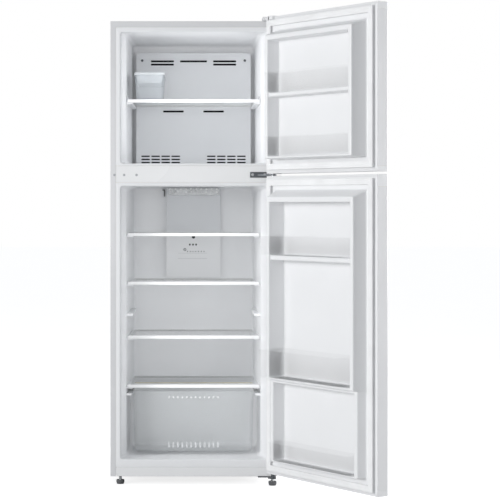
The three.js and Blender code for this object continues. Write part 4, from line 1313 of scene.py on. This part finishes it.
@dataclass
class FreezerCompartment:
    """The freezer's liner, air cover, cooling parts, shelf, ice bin and ice tray."""

    cover_corner: float = 0.012
    screw_x: float = 0.183
    screw_z: float = 1.4413
    fin_pitch: float = 0.006
    fin_half: float = 0.172
    tube_rows: int = 5
    tube_start: float = 0.014
    tube_pitch: float = 0.037

    def build(self) -> None:
        """Builds and installs every piece."""
        liner = Liner("freezer_liner", 0.226, 0.218, 1.0636, 1.4988)
        liner.build()
        shelf_low, _ = box_in("freezer_shelf", CABINET)
        liner.ribs("freezer_shelf_ribs", [shelf_low.z - 0.0003], 0.204, (0.094, 0.400))
        self.air_cover()
        self.cooling()
        Shelf("freezer_shelf", "freezer_shelf_trim", hooks=True).build()
        self.ice_bin()
        refined("ice_tray", Finish.TRAY, 0.0009, 2)

    def air_cover(self) -> None:
        """The back cover, with its slots rounded, its screws in place, and near-black sheets behind its slot rows
        as painted shade.
        """

        def reshape(shape: bmesh.types.BMesh) -> None:
            """Rounds the slots' ends and the cover's upper corners."""
            along = [e for e in sharp_edges(shape, CREASE) if self.runs_deep(e)]
            slots = [e for e in along if e.calc_length() < 0.005]
            top = box_in("freezer_air_cover", CABINET)[1].z
            long_ones = [e for e in along if e.calc_length() > 0.02]
            corners = [e for e in long_ones if max(v.co.z for v in e.verts) > top - 0.004]
            soften(shape, slots, 0.0023, 4)
            soften(shape, corners, self.cover_corner, 6)

        refined("freezer_air_cover", Finish.COVER, 0.0007, 2, reshape=reshape)
        front = box_in("freezer_air_cover", CABINET)[0].y + 0.008
        points = [(side * self.screw_x, front - 0.0003, self.screw_z) for side in (-1, 1)]
        sizes = {"Radius": 0.0045, "Height": 0.0022, "Recess": 0.0012}
        repeated("air_cover_screws", "screws", points, Finish.HINGE, "hinge_steel", sizes)
        # Near-black sheets just behind the slot rows: painted shade, standing for the dark inside the closed air
        # channel.
        points = [(0.0, front + 0.0043, 1.4345), (0.0, front + 0.0043, 1.2595), (0.0, front - 0.0037, 1.0884)]
        sizes = {"Width": 0.384, "Height": 0.046, "Length": 0.0016, "Rounding": 0.0004}
        repeated("air_channel_lining", "bars", points, Finish.CHANNEL, "dark_plastic", sizes)

    @staticmethod
    def runs_deep(edge: bmesh.types.BMEdge) -> bool:
        """Whether an edge runs along the depth."""
        first, second = (vertex.co for vertex in edge.verts)
        return abs(first.y - second.y) > 0.95 * (first - second).length

    def cooling(self) -> None:
        """The coil with its fins, the heater, the fan and its motor."""
        low, high = box_in("evaporator_coil", CABINET)
        middle = (low + high) / 2
        count = int(2 * self.fin_half / self.fin_pitch)
        points = [(-self.fin_half + self.fin_pitch * (i + 0.5), middle.y, middle.z) for i in range(count)]
        sizes = {"Width": 0.0007, "Height": high.z - low.z, "Length": high.y - low.y, "Rounding": 0.0001}
        repeated("evaporator_fins", "bars", points, Finish.ALUMINIUM, "aluminium", sizes)
        rows = [low.z + self.tube_start + i * self.tube_pitch for i in range(self.tube_rows)]
        points = [(y, 0.0, z) for z in rows for y in (low.y + 0.007, high.y - 0.007)]
        turned = CABINET @ Matrix.Rotation(math.pi / 2, 4, "Z")
        sizes = {"Width": 0.008, "Height": 0.008, "Length": high.x - low.x, "Rounding": 0.0039}
        coil = ("evaporator_coil",)
        name = "evaporator_tube_runs"
        repeated(name, "bars", points, Finish.ALUMINIUM, "aluminium", sizes, turned, stands_for=coil)
        refined("defrost_heater", Finish.BRIGHT_STEEL, 0.0008)
        refined("fan_motor", Finish.BLACK_PLASTIC, 0.0012)
        refined("evaporator_fan", Finish.COVER, 0.0004, 1)

    def ice_bin(self) -> None:
        """The clear bin under the ice tray."""
        low, high = box_in("ice_bin", CABINET)
        box = OpenBox(low, high, (0.0075, 0.0095, 0.0075), 0.002, 0.0015, 0.003, 0.010, 0.007)
        panel = SunkPanel((0.0, -1.0, 0.0), (0.007, 0.0012), 0.0006)
        box.stand_for("ice_bin", (Finish.ICE_BIN, Finish.DRAWER_EDGE), panel)


# ---- Fridge compartment ----------------------------------------------------------------------------


@dataclass
class FridgeCompartment:
    """The fridge's liner, air duct, lamp, temperature control, shelves and crisper."""

    dots: int = 10
    dot_pitch: float = 0.0185
    dot_rows: tuple[float, ...] = (0.9825, 0.9725)
    icon_x: tuple[float, ...] = (-0.0132, -0.0018, 0.0093)
    icon_z: float = 0.7845
    spare_rib: float = 0.5597
    dial: tuple[float, float] = (-0.031, 0.7667)
    dial_radius: float = 0.0042
    scale: tuple[float, float] = (-0.0214, 0.7599)
    scale_pitch: float = 0.0098

    def build(self) -> None:
        """Builds and installs every piece."""
        liner = Liner("fridge_liner", 0.226, 0.2155, 0.0839, 0.9891, hump_front=0.305, hump_top=0.308)
        liner.build()
        sheets = ["glass_shelf_1", "glass_shelf_2", "glass_shelf_3", "crisper_cover"]
        tops = [box_in(sheet, CABINET)[0].z - 0.0003 for sheet in sheets]
        liner.ribs("fridge_shelf_ribs", [*tops, self.spare_rib], 0.204, (0.111, 0.402))
        rail_top = box_in("crisper_drawer", CABINET)[1].z - 0.0076
        liner.ribs("crisper_rails", [rail_top], 0.2085, (0.106, 0.290))
        refined("duct_cover", Finish.COVER, 0.0012, 3)
        self.lamp()
        self.control()
        for i in (1, 2, 3):
            Shelf(f"glass_shelf_{i}", f"shelf_trim_{i}").build()
        Shelf("crisper_cover", "crisper_cover_trim").build()
        Crisper().build()

    def lamp(self) -> None:
        """The lens over the lamp, with the small domes that spread its light, made opaque white as painted
        highlights.
        """
        refined("lamp_lens", Finish.LENS, 0.0012, 3)
        low, _ = box_in("lamp_lens", CABINET)
        start = -self.dot_pitch * (self.dots - 1) / 2
        points = [(start + i * self.dot_pitch, low.y, z) for z in self.dot_rows for i in range(self.dots)]
        sizes = {"Radius": 0.0036, "Height": 0.0014}
        # The domes take the opaque white trim finish, not clear plastic: painted highlights of the lens's prisms.
        repeated("lamp_lens_domes", "domes", points, Finish.TRIM, "clear_plastic", sizes)
        self.dark_hook_bars()

    def dark_hook_bars(self) -> None:
        """Two small black bars beside the duct, one upright and one across its top, in the shape of a hook."""
        wall = 0.4665
        parts = (((-0.1045, wall, 0.9675), 0.003, 0.022), ((-0.1075, wall, 0.9795), 0.009, 0.003))
        for index, (point, width, height) in enumerate(parts):
            sizes = {"Width": width, "Height": height, "Length": 0.006, "Rounding": 0.0008}
            repeated(f"sensor_clip_{index + 1}", "bars", [point], Finish.BLACK_PLASTIC, "dark_plastic", sizes)

    def control(self) -> None:
        """The temperature control's housing, button and plain printed marks."""
        refined("control_housing", Finish.HOUSING, 0.0016, 3)
        refined("control_button", Finish.BLACK_PLASTIC, 0.0014, 3)
        front = box_in("control_housing", CABINET)[0].y
        flat = CABINET @ Matrix.Translation((0.0, front, 0.0)) @ Matrix.Rotation(-math.pi / 2, 4, "X")
        thin = {"Height": 0.0004, "Rounding": 0.0001}
        icons = [(x, -self.icon_z, 0.0) for x in self.icon_x]
        sizes = {**thin, "Width": 0.0056, "Length": 0.0060}
        repeated("control_icons", "bars", icons, Finish.PRINT, "dark_plastic", sizes, flat)
        ticks = [(self.scale[0] + i * self.scale_pitch, -self.scale[1], 0.0) for i in range(7)]
        sizes = {**thin, "Width": 0.0022, "Length": 0.0042}
        repeated("control_scale", "bars", ticks, Finish.PRINT, "dark_plastic", sizes, flat)
        x, z = self.dial
        dots = [
            (x + self.dial_radius * math.cos(t), front, z + self.dial_radius * math.sin(t)) for t in turns(8)
        ]
        sizes = {"Radius": 0.0014, "Height": 0.0003}
        repeated("control_dial_mark", "domes", [*dots, (x, front, z)], Finish.PRINT, "dark_plastic", sizes)
        lines = [(-0.0035, -z, 0.0) for z in (0.754, 0.735)]
        sizes = {**thin, "Width": 0.1035, "Length": 0.0008}
        repeated("control_label_border", "bars", lines, Finish.PLUG, "trim_plastic", sizes, flat)


@dataclass
class Crisper:
    """The clear crisper drawer with its runners, handle lip and frosted ribs."""

    runner: float = 0.0105
    rib_count: int = 12
    rib_span: float = 0.165

    def build(self) -> None:
        """Builds and installs the drawer."""
        low, high = box_in("crisper_drawer", CABINET)
        box_low = Vector((low.x + self.runner, low.y, low.z))
        box_high = Vector((high.x - self.runner, high.y, high.z))
        box = OpenBox(box_low, box_high, (0.008, 0.009, 0.011), 0.0025, 0.003, 0.007, 0.016, 0.012, 8)
        panel = SunkPanel((0.0, -1.0, 0.0), (0.016, 0.0016), 0.0009)
        box.stand_for("crisper_drawer", (Finish.DRAWER, Finish.DRAWER_EDGE), panel)
        self.runners(low, high)
        self.frosting(low, high)

    def runners(self, low: Vector, high: Vector) -> None:
        """The rails that the drawer slides on, on both sides of its rim."""
        width = self.runner + 0.002
        points = [(side * (high.x - width / 2), (low.y + high.y) / 2, high.z - 0.0035) for side in (-1, 1)]
        sizes = {"Width": width, "Height": 0.0068, "Length": high.y - low.y - 0.012, "Rounding": 0.0016}
        drawer = "crisper_drawer"
        repeated("crisper_runners", "bars", points, Finish.DRAWER, "clear_plastic", sizes, body=drawer)

    def frosting(self, low: Vector, high: Vector) -> None:
        """The rows of short ribs at the top and the foot of the drawer's front."""
        pitch = self.rib_span / (self.rib_count - 1)
        turned = CABINET @ Matrix.Rotation(math.pi / 2, 4, "X")
        rows = ((high.z - 0.020, 0.006, low.y + 0.0042), (low.z + 0.024, 0.018, low.y + 0.0122))
        for index, (z, height, depth) in enumerate(rows):
            points = [(-self.rib_span / 2 + i * pitch, z, -depth) for i in range(self.rib_count)]
            sizes = {"Width": 0.006, "Height": 0.0014, "Length": height, "Rounding": 0.0005}
            name = f"crisper_front_ribs_{index + 1}"
            repeated(name, "bars", points, Finish.FROST, "clear_plastic", sizes, turned, "crisper_drawer")


# ---- Doors -----------------------------------------------------------------------------------------

GASKET_SECTION = (
    (0.003, 0.0), (0.017, 0.0), (0.0175, 0.0015), (0.0145, 0.0026), (0.0145, 0.0042), (0.0185, 0.0054),
    (0.020, 0.007), (0.020, 0.0098), (0.0186, 0.0112), (0.0112, 0.0112), (0.010, 0.0103), (0.0088, 0.0112),
    (0.0014, 0.0112), (0.0, 0.0098), (0.0, 0.007), (0.0015, 0.0054), (0.0055, 0.0042), (0.0055, 0.0026),
    (0.0025, 0.0015),
)


@dataclass
class Door:
    """A door: painted skin, end caps, formed inner panel, magnetic gasket, foam and clear bins."""

    name: str
    bins: tuple[str, ...]
    corner: float = 0.006
    skin: float = 0.0012
    panel_wall: float = 0.0015
    panel_rounding: float = 0.0045
    panel_crease: float = math.radians(8)
    # How far from the door the gasket's faces carry the painted fold shade.
    fold_shade_depth: float = 0.0062

    def __post_init__(self) -> None:
        """Finds the door's place and its flat sheet's face."""
        self.place = door_matrix(f"{self.name}_hinge")
        self.face = box_in(f"{self.name}_skin", self.place)[1].y

    def node(self, part: str) -> str:
        """The full name of one of the door's nodes."""
        return f"{self.name}_{part}"

    def build(self) -> None:
        """Builds and installs every piece."""
        self.outer_skin()
        for part in ("top_cap", "foot_cap"):
            refined(self.node(part), Finish.CAP, 0.0009, 2, self.place)
        self.inner_panel()
        self.gasket()
        dressed(self.node("foam"), Finish.FOAM)
        for name in self.bins:
            self.bin(name)

    def outer_skin(self) -> None:
        """The folded steel front with its two returns and their hems."""
        low, high = box_in(self.node("skin"), self.place)
        outer = self.half_outline(low, high, 0.0)
        inner = self.half_outline(low, high, self.skin)
        points = outer + list(reversed(inner))
        shape = loft([level(points, low.z), level(points, high.z)])
        piece = finished(f"{self.node('skin')}_finished", shape, self.place, Finish.DOOR_PAINT)
        install(piece, self.name, SLOT_OF[self.node("skin")], self.node("skin"))

    def half_outline(self, low: Vector, high: Vector, inset: float) -> list[tuple[float, float]]:
        """The skin's line from one return round the front to the other, a distance inside its face."""
        radius = self.corner - inset
        x0, x1, y0 = low.x + inset, high.x - inset, low.y + inset
        points = [(x0, high.y)]
        points += [(x0 + radius * (1 - math.cos(t)), y0 + radius * (1 - math.sin(t))) for t in arc(10)]
        points += [(x1 - radius * (1 - math.sin(t)), y0 + radius * (1 - math.cos(t))) for t in arc(10)]
        points.append((x1, high.y))
        return points

    def inner_panel(self) -> None:
        """The side of the formed panel that is seen, rounded and given its wall again."""
        shape = merged(self.node("liner"), self.place)
        slack = 2e-4
        deepest, nearest = self.face - self.panel_wall - slack, self.face + slack
        rim = [
            face for face in shape.faces
            if abs(face.normal.y) < 0.5 and all(deepest < v.co.y < nearest for v in face.verts)
        ]
        bmesh.ops.delete(shape, geom=rim, context="FACES")
        seen = self.connected(max(shape.verts, key=lambda vertex: vertex.co.y))
        bmesh.ops.delete(shape, geom=[v for v in shape.verts if v not in seen], context="VERTS")
        bmesh.ops.dissolve_limit(shape, angle_limit=FLAT, verts=shape.verts, edges=shape.edges)
        piece = object_of(f"{self.node('liner')}_finished", shape, self.place)
        rounded_by_room(piece, self.panel_rounding, self.panel_crease, 4)
        thicken(piece, self.panel_wall)
        even_shading(piece)
        paint(piece, Finish.DOOR_PANEL)
        install(piece, self.name, SLOT_OF[self.node("liner")], self.node("liner"))

    @staticmethod
    def connected(start: bmesh.types.BMVert) -> set[bmesh.types.BMVert]:
        """Every vertex that is joined to one by edges."""
        found, waiting = {start}, [start]
        while waiting:
            for edge in waiting.pop().link_edges:
                for vertex in edge.verts:
                    if vertex not in found:
                        found.add(vertex)
                        waiting.append(vertex)
        return found

    def gasket(self) -> None:
        """The bellows and magnet tube of the seal, mitred at its four corners; the faces nearest the door take a
        dark grey copy of the vinyl as painted shade in the folds.
        """
        low, high = box_in(self.node("gasket"), self.place)
        corners = (
            (low.x, low.z, 1, 1), (high.x, low.z, -1, 1), (high.x, high.z, -1, -1), (low.x, high.z, 1, -1),
        )
        rings = [
            [Vector((x + across * u, low.y + v, z + up * u)) for u, v in GASKET_SECTION]
            for x, z, across, up in corners
        ]
        shape = loft(rings, closed=True)
        # Faces within that depth of the door get the dark grey vinyl: painted shade in the bellows folds.
        for face in shape.faces:
            face.material_index = 1 if face.calc_center_median().y < low.y + self.fold_shade_depth else 0
        piece = object_of(f"{self.node('gasket')}_finished", shape, self.place)
        paint(piece, Finish.GASKET, Finish.GASKET_FOLD)
        install(piece, self.name, SLOT_OF[self.node("gasket")], self.node("gasket"))

    def bin(self, name: str) -> None:
        """A clear bin with a framed front."""
        low, high = box_in(name, self.place)
        box = OpenBox(low, high, (0.005, 0.002, 0.006), corner=0.008, fillet=0.005)
        panel = SunkPanel((0.0, 1.0, 0.0), (0.007, 0.0014), 0.0007)
        box.stand_for(name, (Finish.BIN, Finish.BIN_EDGE), panel, self.place)


# ---- Hinges ----------------------------------------------------------------------------------------


@dataclass
class Hinges:
    """The three hinges, the cover of the upper one, and the small parts at the middle one."""

    screw_x: tuple[float, float] = (0.1955, 0.2365)
    screw_z: float = 1.0265
    screw_y: float = -0.0033
    pin: float = 0.0043
    washer: float = 0.0075
    tongue: tuple[float, float] = (1.0224, 1.0274)
    slack: float = 0.0001
    stop_plate: float = 0.001
    gap_low: float = 1.0209
    gap_high: float = 1.0289

    def build(self) -> None:
        """Builds and installs every piece."""
        refined("top_hinge", Finish.HINGE, 0.0005)
        refined("top_hinge_cover", Finish.CAP, 0.0022, 4)
        refined("middle_hinge", Finish.HINGE, 0.0006)
        refined("lower_hinge", Finish.HINGE, 0.0006)
        points = [(x, self.screw_y, self.screw_z) for x in self.screw_x]
        sizes = {"Radius": 0.0048, "Height": 0.0019, "Recess": 0.0012}
        repeated("middle_hinge_screws", "screws", points, Finish.SCREW, "hinge_steel", sizes)
        self.washers()
        self.stops()

    def washers(self) -> None:
        """The washers on the middle hinge's pins, above and below its tongue."""
        place = door_matrix("freezer_door_hinge")
        gaps = ((self.gap_low, self.tongue[0]), (self.tongue[1], self.gap_high))
        for index, (floor, roof) in enumerate(gaps):
            bottom, top = floor + self.slack, roof - self.slack
            section = [(self.pin, bottom), (self.washer, bottom), (self.washer, top), (self.pin, top)]
            piece = object_of(f"hinge_washer_{index + 1}", hoop(section, 28), place)
            paint(piece, Finish.BRIGHT_STEEL)
            install(piece, "root", "hinge_steel")

    def stops(self) -> None:
        """The plates under the upper door and on the lower door, beside the pins."""
        rows = (
            ("freezer_door_stop", "freezer_door", self.gap_high - 0.0011),
            ("fridge_door_stop", "fridge_door", self.gap_low),
        )
        for name, body, z in rows:
            place = door_matrix(f"{body}_hinge")
            outline = rounded_rectangle((-0.038, -0.0095), (-0.008, 0.006), 0.002)
            piece = object_of(name, loft([level(outline, z), level(outline, z + self.stop_plate)]), place)
            paint(piece, Finish.HINGE)
            install(piece, body, "hinge_steel")


# ---- Compressor bay --------------------------------------------------------------------------------


@dataclass
class CompressorBay:
    """The sealed compressor, its starter box and grommets, the drain pan, pipes and cord gland."""

    x: float = -0.040
    y: float = 0.436
    radius: float = 0.077
    base: float = 0.048
    shoulder: float = 0.150
    weld: float = 0.118

    def build(self) -> None:
        """Builds and installs every piece."""
        self.shell()
        self.foot_plate()
        self.grommets()
        self.starter_box()
        self.drain_pan()
        for node in ("discharge_pipe", "suction_pipe"):
            refined(node, Finish.COPPER, 0.0)
        refined("cord_gland", Finish.BLACK_PLASTIC, 0.0006)

    def shell(self) -> None:
        """The two welded halves of the steel shell."""
        r, lip, weld = self.radius, 0.0025, self.weld
        upper = r - 0.001
        low, bowl, dome = self.base + 0.012, 0.017, 0.0635
        profile = [(0.0, low - bowl)]
        profile += [(r * math.sin(t), low - bowl * math.cos(t)) for t in arc(6)[1:]]
        profile += [(r, weld - 0.003), (r + lip, weld - 0.002), (r + lip, weld + 0.002)]
        profile += [(upper, weld + 0.003), (upper, self.shoulder)]
        profile += [(upper * math.cos(t), self.shoulder + dome * math.sin(t)) for t in arc(10)[1:-1]]
        profile.append((0.0, self.shoulder + dome))
        place = CABINET @ Matrix.Translation((self.x, self.y, 0.0))
        piece = finished("compressor_shell", lathe(profile, 56), place, Finish.ENAMEL)
        install(piece, "root", "black_enamel", "compressor")

    def foot_plate(self) -> None:
        """The pressed plate that the shell stands on."""
        outline = rounded_rectangle((-0.098, 0.098), (-0.078, 0.078), 0.018)
        shape = loft([level(outline, z) for z in (0.040, 0.043)])
        soften(shape, sharp_edges(shape, CREASE), 0.0007, 2)
        place = CABINET @ Matrix.Translation((self.x, self.y, 0.0))
        piece = finished("compressor_foot_plate", shape, place, Finish.ENAMEL)
        install(piece, "root", "black_enamel")

    def grommets(self) -> None:
        """The four rubber grommets under the foot plate, with their bolts."""
        profile = [
            (0.0, 0.0306), (0.0095, 0.0306), (0.0108, 0.0316), (0.0108, 0.036), (0.008, 0.0372),
            (0.008, 0.046), (0.0102, 0.047), (0.0102, 0.050), (0.006, 0.051), (0.006, 0.055),
            (0.005, 0.056), (0.0, 0.056),
        ]
        xs, ys = (self.x - 0.084, self.x + 0.084), (self.y - 0.064, self.y + 0.064)
        places = [(x, y) for x in xs for y in ys]
        whole = bmesh.new()
        for x, y in places:
            one = lathe(profile, 20)
            bmesh.ops.transform(one, matrix=Matrix.Translation((x, y, 0.0)), verts=one.verts)
            scratch = bpy.data.meshes.new("grommet")
            one.to_mesh(scratch)
            one.free()
            whole.from_mesh(scratch)
            bpy.data.meshes.remove(scratch)
        piece = object_of("compressor_grommets", whole, CABINET)
        paint(piece, Finish.BLACK_PLASTIC)
        install(piece, "root", "dark_plastic")

    def starter_box(self) -> None:
        """The moulded box over the compressor's terminals, with its wire clip."""
        x0, x1 = self.x + self.radius - 0.009, self.x + self.radius + 0.0295
        outline = rounded_rectangle((x0, x1), (self.y - 0.026, self.y + 0.026), 0.004)
        shape = loft([level(outline, z) for z in (0.092, 0.152)])
        soften(shape, sharp_edges(shape, CREASE), 0.002, 3)
        piece = finished("compressor_starter_box", shape, CABINET, Finish.BLACK_PLASTIC)
        install(piece, "root", "dark_plastic")
        points = [(x1 - 0.012, self.y, z) for z in (0.106, 0.138)]
        sizes = {"Width": 0.0252, "Height": 0.003, "Length": 0.0545, "Rounding": 0.001}
        repeated("starter_box_clips", "bars", points, Finish.BRIGHT_STEEL, "hinge_steel", sizes)

    def drain_pan(self) -> None:
        """The pan over the compressor in which defrost water dries up."""
        low, high = box_in("drain_pan", CABINET)
        box = OpenBox(low, high, (0.008, 0.008, 0.008), 0.002, 0.002, 0.0025, 0.012, 0.008)
        box.stand_for("drain_pan", (Finish.BLACK_PLASTIC, Finish.BLACK_PLASTIC))


# ---- Feet and rollers ------------------------------------------------------------------------------


@dataclass
class RunningGear:
    """The fluted levelling feet with threaded stems, and the rear rollers."""

    wheel: tuple[tuple[float, float], ...] = (
        (0.82, 0.0), (0.90, 0.0012), (0.90, 0.004), (1.0, 0.0052), (1.0, 0.0125), (0.94, 0.014),
    )
    flutes: int = 24
    flute_depth: float = 0.045
    thread_pitch: float = 0.0015
    thread_root: float = 0.0043
    thread_crest: float = 0.005

    def build(self) -> None:
        """Builds and installs every piece."""
        for name in ("left_foot", "right_foot"):
            self.foot(name)
        for name in ("left_roller", "right_roller"):
            self.roller(name)

    def foot(self, name: str) -> None:
        """A foot: a fluted wheel to turn by hand, on a threaded stem."""
        low, high = box_in(name, CABINET)
        centre = CABINET @ Matrix.Translation(((low.x + high.x) / 2, (low.y + high.y) / 2, 0.0))
        radius = (high.x - low.x) / 2
        rings = []
        for share, z in self.wheel:
            ring = []
            for turn in turns(self.flutes * 4):
                groove = self.flute_depth * max(math.cos(self.flutes * turn), 0.0) if share > 0.93 else 0.0
                reach = radius * (share - groove)
                ring.append(Vector((reach * math.cos(turn), reach * math.sin(turn), z)))
            rings.append(ring)
        piece = finished(f"{name}_finished", loft(rings), centre, Finish.FOOT, crease=SOFT_CREASE)
        install(piece, name, SLOT_OF[name], name)
        self.stem(name, centre, high.z)

    def stem(self, name: str, centre: Matrix, top: float) -> None:
        """The threaded stem, from the wheel up to its end."""
        z = 0.0135
        profile = [(0.0, z)]
        while z < top - self.thread_pitch:
            profile += [(self.thread_root, z), (self.thread_crest, z + self.thread_pitch / 2)]
            z += self.thread_pitch
        profile += [(self.thread_root, z), (0.0038, top), (0.0, top)]
        piece = object_of(f"{name}_stem", lathe(profile, 20), centre)
        paint(piece, Finish.BRIGHT_STEEL)
        install(piece, name, "hinge_steel")

    def roller(self, name: str) -> None:
        """A roller with a shallow groove round its tread."""
        low, high = box_in(name, CABINET)
        middle = (low + high) / 2
        half, radius = (high.x - low.x) / 2, (high.z - low.z) / 2
        section = [
            (0.0036, -half), (radius - 0.002, -half), (radius, -half + 0.0015), (radius, -0.0012),
            (radius - 0.0008, -0.0006), (radius - 0.0008, 0.0006), (radius, 0.0012), (radius, half - 0.0015),
            (radius - 0.002, half), (0.0036, half),
        ]
        rings = [[Vector((x, r * math.cos(t), r * math.sin(t))) for r, x in section] for t in turns(40)]
        piece = object_of(f"{name}_finished", loft(rings, closed=True), CABINET @ Matrix.Translation(middle))
        paint(piece, Finish.BLACK_PLASTIC)
        install(piece, name, SLOT_OF[name], name)


# ---- Studio ----------------------------------------------------------------------------------------


@dataclass
class Studio:
    """The pale floor, the soft lights round the refrigerator and in its openings, and the camera."""

    distance: float = 5.507
    eye: float = 0.9306
    lens: float = 119.8
    shift: tuple[float, float] = (0.113, -0.0927)
    surround: float = 0.34
    key_power: float = 155.0
    fill_power: float = 20.0
    rim_power: float = 105.0
    opening_width: float = 0.38
    openings: tuple[tuple[str, float, float, float], ...] = (
        ("freezer_light", 1.10, 1.48, 1.1),
        ("fridge_light", 0.12, 0.965, 0.58),
    )
    glow: float = 0.8

    def build(self) -> None:
        """Builds the studio; each opening's light has its lower and upper end and its radiance."""
        self.camera()
        self.floor()
        self.world()
        middle = Vector((0.0, 0.1, 0.85))
        self.lamp("key_light", Vector((-4.1, -3.1, 1.5)), middle, (2.0, 2.0), self.key_power)
        self.lamp("fill_light", Vector((-0.3, -5.2, 1.1)), middle, (1.2, 1.2), self.fill_power)
        self.lamp("rim_light", Vector((3.4, 0.3, 1.2)), middle, (1.4, 1.4), self.rim_power)
        for name, low, high, radiance in self.openings:
            size = (self.opening_width, high - low)
            place = Vector((-0.02, -0.004, (low + high) / 2.0))
            power = radiance * math.pi * size[0] * size[1]
            self.lamp(name, place, place + Vector((0.0, 1.0, 0.0)), size, power)
        bpy.context.scene.view_settings.view_transform = "Standard"

    def camera(self) -> None:
        """The camera: level, in front of the cabinet's middle, with the view shifted onto the doors."""
        data = bpy.data.cameras.new("camera")
        data.lens = self.lens
        data.sensor_width = 36.0
        data.shift_x, data.shift_y = self.shift
        camera = bpy.data.objects.new("camera", data)
        camera.location = CABINET @ Vector((0.0, -self.distance, self.eye))
        camera.rotation_euler = (math.pi / 2, 0.0, 0.0)
        bpy.context.scene.collection.objects.link(camera)
        bpy.context.scene.camera = camera

    def floor(self) -> None:
        """A wide pale floor, which shines only for the camera, so that it lights nothing."""
        half = 30.0
        corners = [(-half, -half, 0), (half, -half, 0), (half, half, 0), (-half, half, 0)]
        mesh = bpy.data.meshes.new("floor")
        mesh.from_pydata(corners, [], [(0, 1, 2, 3)])
        floor = bpy.data.objects.new("floor", mesh)
        bpy.context.scene.collection.objects.link(floor)
        tree = ShaderTree("studio_floor")
        tree.feed("Base Color", tree.tint(tree.noise(2.0), (0.55, 0.55, 0.55), (0.53, 0.53, 0.54)))
        tree.fix(Roughness=0.8)
        tree.shader.inputs["Emission Color"].default_value = (self.glow, self.glow, self.glow, 1.0)
        tree.feed("Emission Strength", tree.tree.nodes.new("ShaderNodeLightPath").outputs["Is Camera Ray"])
        mesh.materials.append(tree.material)

    def world(self) -> None:
        """White surroundings: bright where they are seen, softer as a light."""
        world = bpy.data.worlds.new("studio")
        world.use_nodes = True
        tree = world.node_tree
        tree.nodes.clear()
        output = tree.nodes.new("ShaderNodeOutputWorld")
        seen = tree.nodes.new("ShaderNodeBackground")
        seen.inputs["Color"].default_value = (1.0, 1.0, 1.0, 1.0)
        lit = tree.nodes.new("ShaderNodeBackground")
        lit.inputs["Color"].default_value = (0.93, 0.965, 1.0, 1.0)
        lit.inputs["Strength"].default_value = self.surround
        mix = tree.nodes.new("ShaderNodeMixShader")
        path = tree.nodes.new("ShaderNodeLightPath")
        tree.links.new(path.outputs["Is Camera Ray"], mix.inputs[0])
        tree.links.new(lit.outputs[0], mix.inputs[1])
        tree.links.new(seen.outputs[0], mix.inputs[2])
        tree.links.new(mix.outputs[0], output.inputs["Surface"])
        bpy.context.scene.world = world

    @staticmethod
    def lamp(name: str, place: Vector, target: Vector, size: tuple[float, float], power: float) -> None:
        """A large soft lamp.

        Args:
            name: The lamp's name.
            place: Where it stands in the cabinet's frame.
            target: What it looks at.
            size: Its width and height.
            power: Its power in watts.
        """
        data = bpy.data.lights.new(name, "AREA")
        data.shape = "RECTANGLE"
        data.size, data.size_y = size
        data.energy = power
        lamp = bpy.data.objects.new(name, data)
        lamp.location = CABINET @ place
        lamp.rotation_euler = (target - place).to_track_quat("-Z", "Z").to_euler()
        lamp.visible_camera = False
        bpy.context.scene.collection.objects.link(lamp)


def main() -> None:
    """Builds the studio and every sub-assembly."""
    logging.basicConfig(level=logging.INFO, format="%(message)s")
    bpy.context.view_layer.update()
    assemblies = (
        Studio(),
        Cabinet(),
        FreezerCompartment(),
        FridgeCompartment(),
        Door("freezer_door", ("freezer_bin_upper", "freezer_bin_lower")),
        Door("fridge_door", ("door_bin_upper", "door_bin_middle", "door_bin_lower")),
        Hinges(),
        CompressorBay(),
        RunningGear(),
    )
    for assembly in assemblies:
        assembly.build()


if __name__ == "__main__":
    main()
